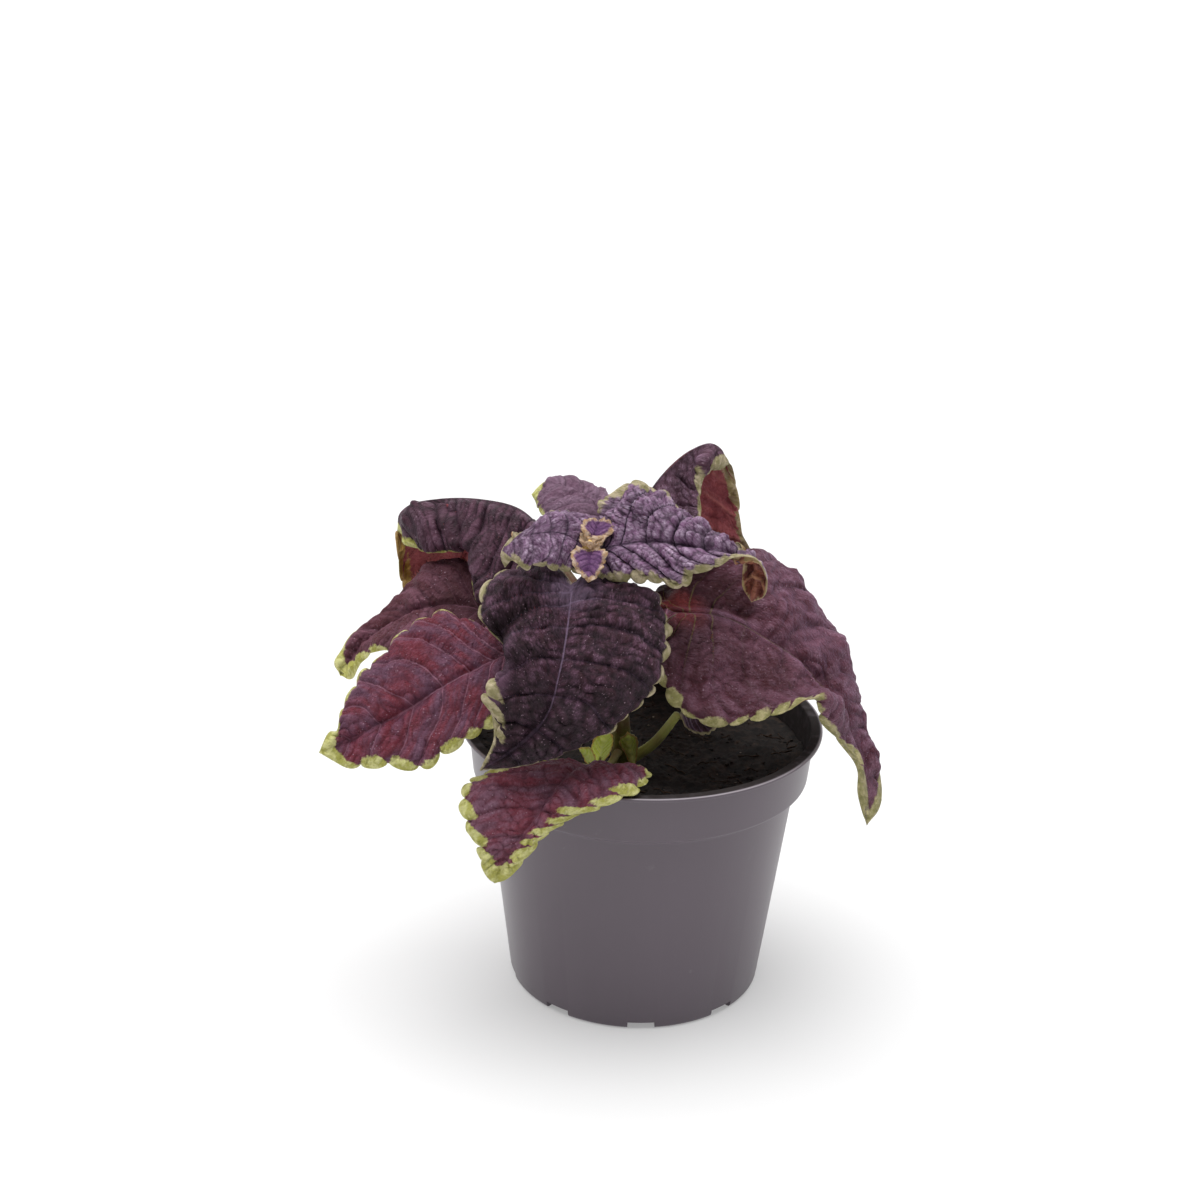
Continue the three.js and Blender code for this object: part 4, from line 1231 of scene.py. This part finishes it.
def pot_outline():
    """Radius and height of the pot's section, from the middle of its underside round to the
    middle of its inner floor."""
    lip_bottom = POT_HEIGHT - LIP_THICKNESS
    corners = [
        ((FOOT_RADIUS, 0), 1.4),
        ((BODY_TOP_RADIUS, BODY_TOP), 1.2),
        ((BAND_BOTTOM_RADIUS, BAND_BOTTOM), 0.7),
        ((BAND_TOP_RADIUS, lip_bottom), 0.5),
        ((LIP_RADIUS, lip_bottom), 0.35),
        ((LIP_RADIUS, POT_HEIGHT), 0.5),
        ((BAND_TOP_RADIUS - WALL, POT_HEIGHT), 0.6),
        ((BAND_BOTTOM_RADIUS - WALL, BAND_BOTTOM), 1.0),
        ((BODY_TOP_RADIUS - WALL, BODY_TOP), 1.0),
        ((FOOT_RADIUS - WALL + 0.4, FLOOR), 2.0),
    ]
    outline = []
    chain = [((0, 0), 0), *corners, ((0, FLOOR), 0)]
    for (before, _), (point, radius), (after, _) in zip(chain, chain[1:], chain[2:]):
        outline += corner(before, point, after, radius)
    return outline


def cut_foot(piece):
    """Cuts the pockets under the foot's edge, and a round drain hole in each of them."""
    reach = FOOT_RADIUS + 2 - POCKET_INNER_RADIUS
    box = Matrix.Diagonal((reach * MM, POCKET_WIDTH * MM, 2 * POCKET_HEIGHT * MM, 1))
    size = DRAIN_RADIUS * MM
    pockets, drains = bmesh.new(), bmesh.new()
    for i in range(POCKETS):
        turn = Matrix.Rotation(math.radians(FIRST_POCKET + 360 * i / POCKETS), 4, "Z")
        out = Matrix.Translation(((POCKET_INNER_RADIUS + reach / 2) * MM, 0, 0))
        bmesh.ops.create_cube(pockets, size=1, matrix=turn @ out @ box)
        out = Matrix.Translation(((POCKET_INNER_RADIUS + 2 * DRAIN_RADIUS) * MM, 0, 0))
        bmesh.ops.create_cone(
            drains, cap_ends=True, segments=24, radius1=size, radius2=size,
            depth=3 * FLOOR * MM, matrix=turn @ out,
        )
    subtract(piece, pockets)
    subtract(piece, drains)


def subtract(piece, cutter):
    """Cuts the solids in a bmesh out of a piece, and frees the bmesh."""
    mesh = bpy.data.meshes.new("cutter")
    cutter.to_mesh(mesh)
    cutter.free()
    tool = bpy.data.objects.new("cutter", mesh)
    bpy.context.scene.collection.objects.link(tool)
    cut = piece.modifiers.new("cut", "BOOLEAN")
    cut.operation = "DIFFERENCE"
    cut.object = tool
    cut.solver = "EXACT"
    bpy.context.view_layer.update()
    evaluated = piece.evaluated_get(bpy.context.evaluated_depsgraph_get())
    made = bpy.data.meshes.new_from_object(evaluated)
    piece.modifiers.clear()
    piece.data = made
    bpy.data.objects.remove(tool)


def build_pot():
    rings = [around(POT_SPOKES) * radius + (0, 0, height) for radius, height in pot_outline()]
    points, faces = closed_rings(rings, (0, 0, 0), (0, 0, FLOOR))
    piece = new_piece("grower_pot", points, faces, [pot_finish()])
    cut_foot(piece)
    sharpen(piece, CRISP_ANGLE)
    settle(piece, "pot")


# ---- compost ------------------------------------------------------------------------------------

COMPOST_TOP = 82.0
COMPOST_GAP = 0.3
RINGS = 90
SPOKES = 300
CRUMBS = 320
CRUMB_SIZES = (0.3, 0.9)
PALE_BITS = 26
PALE_BIT_SIZES = (0.25, 0.5)
FIBRES = 70
FIBRE_LENGTHS = (3, 9)
FIBRE_RADII = (0.12, 0.25)
STEM_FOOT = (-6.0, -13.0)
BANK_HEIGHT = 1.4  # round the stem's foot
BANK_SPREAD = 9


def inner_radius(height):
    share = (height - BAND_BOTTOM) / (POT_HEIGHT - BAND_BOTTOM)
    return BAND_BOTTOM_RADIUS + share * (BAND_TOP_RADIUS - BAND_BOTTOM_RADIUS) - WALL


def compost_height(x, y):
    """Height of the lumpy top, slightly banked up round the stem."""
    rng = np.random.default_rng(11)
    flat = np.stack([x, y, 0 * x], -1)
    height = 0.5 * lumps(flat, rng, 16) + 0.45 * np.abs(lumps(flat, rng, 5))
    height = height + 0.3 * np.abs(lumps(flat, rng, 2.2))
    bank = BANK_HEIGHT * bell(np.hypot(x - STEM_FOOT[0], y - STEM_FOOT[1]), BANK_SPREAD)
    return COMPOST_TOP - 0.6 + height + bank


def compost_body():
    """The solid, from the middle of its top out and down the pot's inner wall."""
    circle = around(SPOKES)
    edge = inner_radius(COMPOST_TOP) - COMPOST_GAP
    rings = []
    for radius in edge * np.linspace(0, 1, RINGS + 1)[1:]:
        ring = circle * radius
        ring[:, 2] = compost_height(ring[:, 0], ring[:, 1])
        rings.append(ring)
    for radius, height in (
        (BAND_BOTTOM_RADIUS - WALL, BAND_BOTTOM), (BODY_TOP_RADIUS - WALL, BODY_TOP),
        (FOOT_RADIUS, FLOOR),
    ):
        rings.append(circle * (radius - COMPOST_GAP) + (0, 0, height + COMPOST_GAP))
    middle = compost_height(np.zeros(1), np.zeros(1))[0]
    points, faces = closed_rings(rings, (0, 0, middle), (0, 0, FLOOR + COMPOST_GAP))
    return points, [(face[0], *face[:0:-1]) for face in faces]


def round_lump(rng, size, stretch):
    """A crumb: an uneven ball."""
    ball = bmesh.new()
    bmesh.ops.create_icosphere(ball, subdivisions=2, radius=1)
    points = np.array([v.co for v in ball.verts])
    faces = [tuple(v.index for v in f.verts) for f in ball.faces]
    ball.free()
    points = points * (1 + 0.28 * lumps(points, rng, 1.6, 8))[:, None]
    turn = np.array(Euler(rng.uniform(0, 6, 3)).to_matrix())
    return (points * (size * np.array(stretch))) @ turn, faces


def build_compost():
    rng = np.random.default_rng(5)
    parts = [(*compost_body(), 0)]
    edge = inner_radius(COMPOST_TOP) - 2

    def somewhere():
        angle = rng.uniform(0, 2 * math.pi)
        reach = edge * math.sqrt(rng.uniform())
        x, y = reach * math.cos(angle), reach * math.sin(angle)
        return np.array([x, y, compost_height(np.array([x]), np.array([y]))[0]])

    for k in range(CRUMBS + PALE_BITS):
        pale = k >= CRUMBS
        size = rng.uniform(*(PALE_BIT_SIZES if pale else CRUMB_SIZES))
        lump, lump_faces = round_lump(rng, size, rng.uniform(0.5, 1.3, 3))
        parts.append((lump * (1, 1, 0.6) + somewhere(), lump_faces, 1 if pale else 0))
    for _ in range(FIBRES):
        start = somewhere()
        turn = rng.uniform(0, 2 * math.pi)
        length = rng.uniform(*FIBRE_LENGTHS)
        w = np.linspace(0, 1, 7)[:, None]
        heading = np.array([math.cos(turn), math.sin(turn), 0])
        aside = np.array([-heading[1], heading[0], 0])
        line = start + heading * length * w + aside * rng.uniform(-2, 2) * w**2
        line[:, 2] = compost_height(line[:, 0], line[:, 1]) + 0.25
        if np.linalg.norm(line[:, :2], axis=1).max() < edge:
            parts.append((*tube(line, np.full(7, rng.uniform(*FIBRE_RADII)), 6), 2))

    materials = [
        compost_finish(),
        plain_finish("compost_bits", (96, 88, 78), (150, 142, 130), 400, 0.8),
        plain_finish("compost_fibre", (44, 32, 24), (70, 52, 38), 300, 0.8),
    ]
    settle(joined("potting_compost", parts, materials), "compost")


# ---- stems and leaf stalks ----------------------------------------------------------------------

STEM_ROUTE = [
    (-6, -13, 79), (-7.5, -15, 100), (-11, -19, 122), (-14, -22.5, 142), (-17.8, -29.6, 162.4),
]
SHOOT_ROUTE = [(-5.5, -13.5, 83), (-1.6, -14.4, 86), (4, -18, 92.5), (10.9, -21.8, 104.3)]
STEM_RADII = (3.3, 2.8)  # at its foot and at its top
SHOOT_RADII = (2.0, 1.4)
STALK_RADIUS = 1.5
STALK_END_RADIUS = 0.5
STALK_CLEARANCE = 0.6  # from the stem to where a stalk bends towards its blade
STALK_FLARE = (0.35, 0.06)  # at its foot: how much thicker, and over which share of its length
STALK_SHARES = (0.02, 0.1, 0.2, 0.3)  # of the midrib, where the stalk runs on under it
STEM_SQUARENESS = 0.16
STALK_SQUARENESS = 0.06
NODE_SWELLING = (0.22, 2.2)  # how much thicker, and its spread
NODE_HEIGHTS = sorted({leaf["node"] for leaf in LARGE_LEAVES.values()})


def stem_at(height):
    """Centre and radius of the main stem at a height."""
    line = catmull_rom(STEM_ROUTE)
    share = np.interp(height, line[:, 2], length_along(line) / length_along(line)[-1])
    centre = at_shares(line, np.array([share]))[0]
    return centre, STEM_RADII[0] + share * (STEM_RADII[1] - STEM_RADII[0])


def build_stem(name, node, route, radii, steps, sides, nodes, material):
    """A squarish stem along a route, thicker at the heights of its nodes."""
    shares = np.linspace(0, 1, steps)
    line = at_shares(catmull_rom(route), shares)
    radii = radii[0] + shares * (radii[1] - radii[0])
    for height in nodes:
        radii = radii * (1 + NODE_SWELLING[0] * bell(line[:, 2] - height, NODE_SWELLING[1]))
    settle(new_piece(name, *tube(line, radii, sides, STEM_SQUARENESS), [material]), node)


def below_midrib(shape, shares, depths):
    """Points under the midrib, each at its own depth."""
    fine = np.linspace(0, 1, 200)
    middle, lines = blade_lines(shape)
    midrib = at_shares(middle, fine)
    right, left = (at_shares(lines[side], fine) for side in SIDES)
    ahead = np.gradient(midrib, axis=0)
    up = unit(unit(np.cross(ahead, midrib - right)) + unit(np.cross(ahead, left - midrib)))
    up[0], up[-1] = up[1], up[-2]
    lowered = []
    for share, depth in zip(shares, depths):
        under = midrib - up * depth
        lowered.append(np.array([np.interp(share, fine, under[:, k]) for k in range(3)]))
    return lowered


def stalk(shape, look, root):
    """A large leaf's stalk leaves the stem square to it; a small leaf's starts at its root."""
    junction = np.array(shape["midrib"][0], float)
    if root is None:
        centre, radius = stem_at(shape["node"])
        target = np.array(shape.get("via", [junction])[0], float)
        away = unit((target - centre) * (1, 1, 0))
        shoulder = centre + away * (radius + STALK_RADIUS + STALK_CLEARANCE)
        route = [centre, shoulder, *shape.get("via", [])]
        size, end = STALK_RADIUS, STALK_END_RADIUS
    else:
        route = [root]
        size = 0.12 * math.dist(junction, shape["midrib"][-1]) ** 0.75
        end = 0.4 * size
    sunk = HALF_THICKNESS + look["sunk"] + 1.5 * look["lumpy"]
    free = length_along(catmull_rom([*route, junction]))[-1]
    attached = length_along(catmull_rom(shape["midrib"]))[-1]
    below = np.array(STALK_SHARES)
    thinner = (size - end) / (free + below[-1] * attached)
    depths = size - thinner * (free + below * attached) + sunk
    route += below_midrib(shape, below, depths)
    shares = np.linspace(0, 1, 80)
    line = at_shares(catmull_rom(route), shares)
    radii = size + shares * (end - size)
    radii = radii * (1 + STALK_FLARE[0] * bell(shares, STALK_FLARE[1]))
    return tube(line, radii, 16, STALK_SQUARENESS)


def build_blades(name, node, look, blades, extra, extra_finish):
    """One object from blades of one look, each as blade_mesh gives it, and another mesh."""
    layers = {key: [blade[3][key] for blade in blades] for key in blades[0][3]}
    for values in layers.values():
        values.append(np.zeros((len(extra[0]), *values[0].shape[1:])))
    materials = [
        blade_finish(f"{node}_upper", look, True),
        blade_finish(f"{node}_under", look, False),
        extra_finish,
    ]
    attributes = {key: np.concatenate(values) for key, values in layers.items()}
    parts = [blade[:3] for blade in blades] + [(*extra, 2)]
    settle(joined(name, parts, materials, attributes), node)


def build_leaf(node, shape, seed, root=None):
    look = {**PLAIN_LOOK, **LOOKS[node]}
    skin = stalk_skins["green" if look["tone"] == "green" else "purple"]
    blade = blade_mesh(shape, look, seed)
    build_blades(f"{node}_blade", node, look, [blade], stalk(shape, look, root), skin)


# ---- growing tip --------------------------------------------------------------------------------

BUD_CENTRE = (-17.8, -29.6, 163.0)
BUD_HEART = 2.0  # radius
BUD_LEAFLETS = 6
FIRST_LEAFLET = 20  # degrees round the bud
SHORTER = 0.12  # every other leaflet, as a share of its length
LEAFLET_LENGTH = 6.4
LEAFLET_WIDTH = 3.4
# How far out and up a leaflet's midrib runs, as shares of its length.
LEAFLET_RISE = ((0.1, 0.0), (0.5, 0.45), (0.75, 0.7))


def leaflet(angle, length):
    """The lines of one tiny leaf that leans out from the bud's centre."""
    ahead = np.array([math.cos(angle), math.sin(angle), 0])
    aside = np.array([-ahead[1], ahead[0], 0])
    rise = np.array([0, 0, 1])
    foot = np.array(BUD_CENTRE) + (0, 0, -0.8)
    midrib = [foot + (ahead * out + rise * up) * length for out, up in LEAFLET_RISE]
    shoulder = midrib[1] + rise * 0.06 * length
    return {
        "midrib": midrib,
        "left": [shoulder + aside * LEAFLET_WIDTH / 2],
        "right": [shoulder - aside * LEAFLET_WIDTH / 2],
    }


def build_bud():
    look = {**PLAIN_LOOK, **LOOKS["growing_tip"]}
    blades = []
    for k in range(BUD_LEAFLETS):
        angle = math.radians(FIRST_LEAFLET + 360 * k / BUD_LEAFLETS)
        shape = leaflet(angle, LEAFLET_LENGTH * (1 - SHORTER * (k % 2)))
        blades.append(blade_mesh(shape, look, 90 + k))
    heart, heart_faces = round_lump(np.random.default_rng(8), BUD_HEART, (1, 1, 1.2))
    heart_finish = plain_finish("bud_heart", (190, 150, 70), (224, 192, 120), 900, 0.6)
    extra = (heart + BUD_CENTRE, heart_faces)
    build_blades("tip_bud", "growing_tip", look, blades, extra, heart_finish)


# ---- building the plant -------------------------------------------------------------------------

stalk_skins = {
    "purple": stalk_finish("stalk_skin", (140, 132, 78), (128, 78, 80)),
    "green": stalk_finish("green_stalk_skin", (180, 190, 84), (196, 200, 120)),
}

build_pot()
build_compost()
build_stem(
    "main_stem", "stem_main", STEM_ROUTE, STEM_RADII, steps=120, sides=32, nodes=NODE_HEIGHTS,
    material=stalk_finish("stem_skin", (112, 112, 60), (110, 80, 66)),
)
build_stem(
    "side_shoot", "stem_shoot", SHOOT_ROUTE, SHOOT_RADII, steps=50, sides=24, nodes=(),
    material=stalk_finish("shoot_skin", (186, 190, 104), (168, 160, 100)),
)
for number, (node, shape) in enumerate(LARGE_LEAVES.items()):
    build_leaf(node, shape, seed=100 + number)
for number, (node, shape) in enumerate(SMALL_LEAVES.items()):
    build_leaf(node, shape, seed=200 + number, root=SMALL_ROOTS[node])
build_bud()


# ---- floor, light and camera --------------------------------------------------------------------

FLOOR_SIZE = 20.0  # metres
FLOOR_DROP = 0.0002
PHOTO_SIZE = 1200  # pixels each way
FOCAL_PIXELS = 2000
SENSOR = 36.0
CAMERA_PLACE = (-14.9, -607.5, 366.9)  # millimetres
CAMERA_PITCH = 20.93  # degrees down
CAMERA_ROLL = 1.48
GLOW = 0.62  # of the studio round the plant
FRONT_GLOW = 0.2  # of its front
FRONT_END = -0.8  # the glow changes between these two Y shares of a direction
BACK_START = 0.3
FLOOR_GLOW = 0.29  # of the floor, which is lit from below too
SUN_STRENGTH = 3.1
SUN_SPREAD = 60.0  # degrees, which makes its shadows soft
SUN_TILT = (0.0, -7.0, 0.0)


def build_floor():
    half = FLOOR_SIZE / 2 / MM
    corners = [(-half, -half), (half, -half), (half, half), (-half, half)]
    points = [(x, y, -FLOOR_DROP / MM) for x, y in corners]
    finish = Finish("floor_paper", (0.6, 0.6, 0.6, 1))
    material = finish.shade(
        Roughness=0.9,
        Specular_IOR_Level=0.1,
        Emission_Color=(1, 1, 1, 1),
        Emission_Strength=FLOOR_GLOW,
    )
    new_piece("floor", points, [(0, 1, 2, 3)], [material])


def build_light():
    """Even light from above, behind and both sides, and less from the camera's side."""
    world = bpy.data.worlds.new("studio")
    world.use_nodes = True
    tree = world.node_tree
    direction = tree.nodes.new("ShaderNodeTexCoord").outputs["Generated"]
    parts = tree.nodes.new("ShaderNodeSeparateXYZ")
    share = tree.nodes.new("ShaderNodeMapRange")
    share.interpolation_type = "SMOOTHSTEP"
    share.inputs["From Min"].default_value = FRONT_END
    share.inputs["From Max"].default_value = BACK_START
    share.inputs["To Min"].default_value = FRONT_GLOW
    share.inputs["To Max"].default_value = GLOW
    tree.links.new(direction, parts.inputs[0])
    tree.links.new(parts.outputs["Y"], share.inputs["Value"])
    background = tree.nodes["Background"]
    background.inputs["Color"].default_value = (1, 1, 1, 1)
    tree.links.new(share.outputs["Result"], background.inputs["Strength"])
    bpy.context.scene.world = world

    sun = bpy.data.lights.new("top_light", "SUN")
    sun.energy = SUN_STRENGTH
    sun.angle = math.radians(SUN_SPREAD)
    lamp = bpy.data.objects.new("top_light", sun)
    lamp.rotation_euler = Euler([math.radians(a) for a in SUN_TILT])
    bpy.context.scene.collection.objects.link(lamp)
    bpy.context.scene.view_settings.view_transform = "Standard"


def build_camera():
    camera = bpy.data.cameras.new("camera")
    camera.sensor_width = SENSOR
    camera.lens = SENSOR * FOCAL_PIXELS / PHOTO_SIZE
    camera.clip_start = 0.01
    camera.clip_end = 50
    holder = bpy.data.objects.new("camera", camera)
    tilt = Matrix.Rotation(math.radians(90 - CAMERA_PITCH), 4, "X")
    roll = Matrix.Rotation(math.radians(CAMERA_ROLL), 4, "Z")
    holder.matrix_world = Matrix.Translation([c * MM for c in CAMERA_PLACE]) @ tilt @ roll
    bpy.context.scene.collection.objects.link(holder)
    bpy.context.scene.camera = holder


build_floor()
build_light()
build_camera()
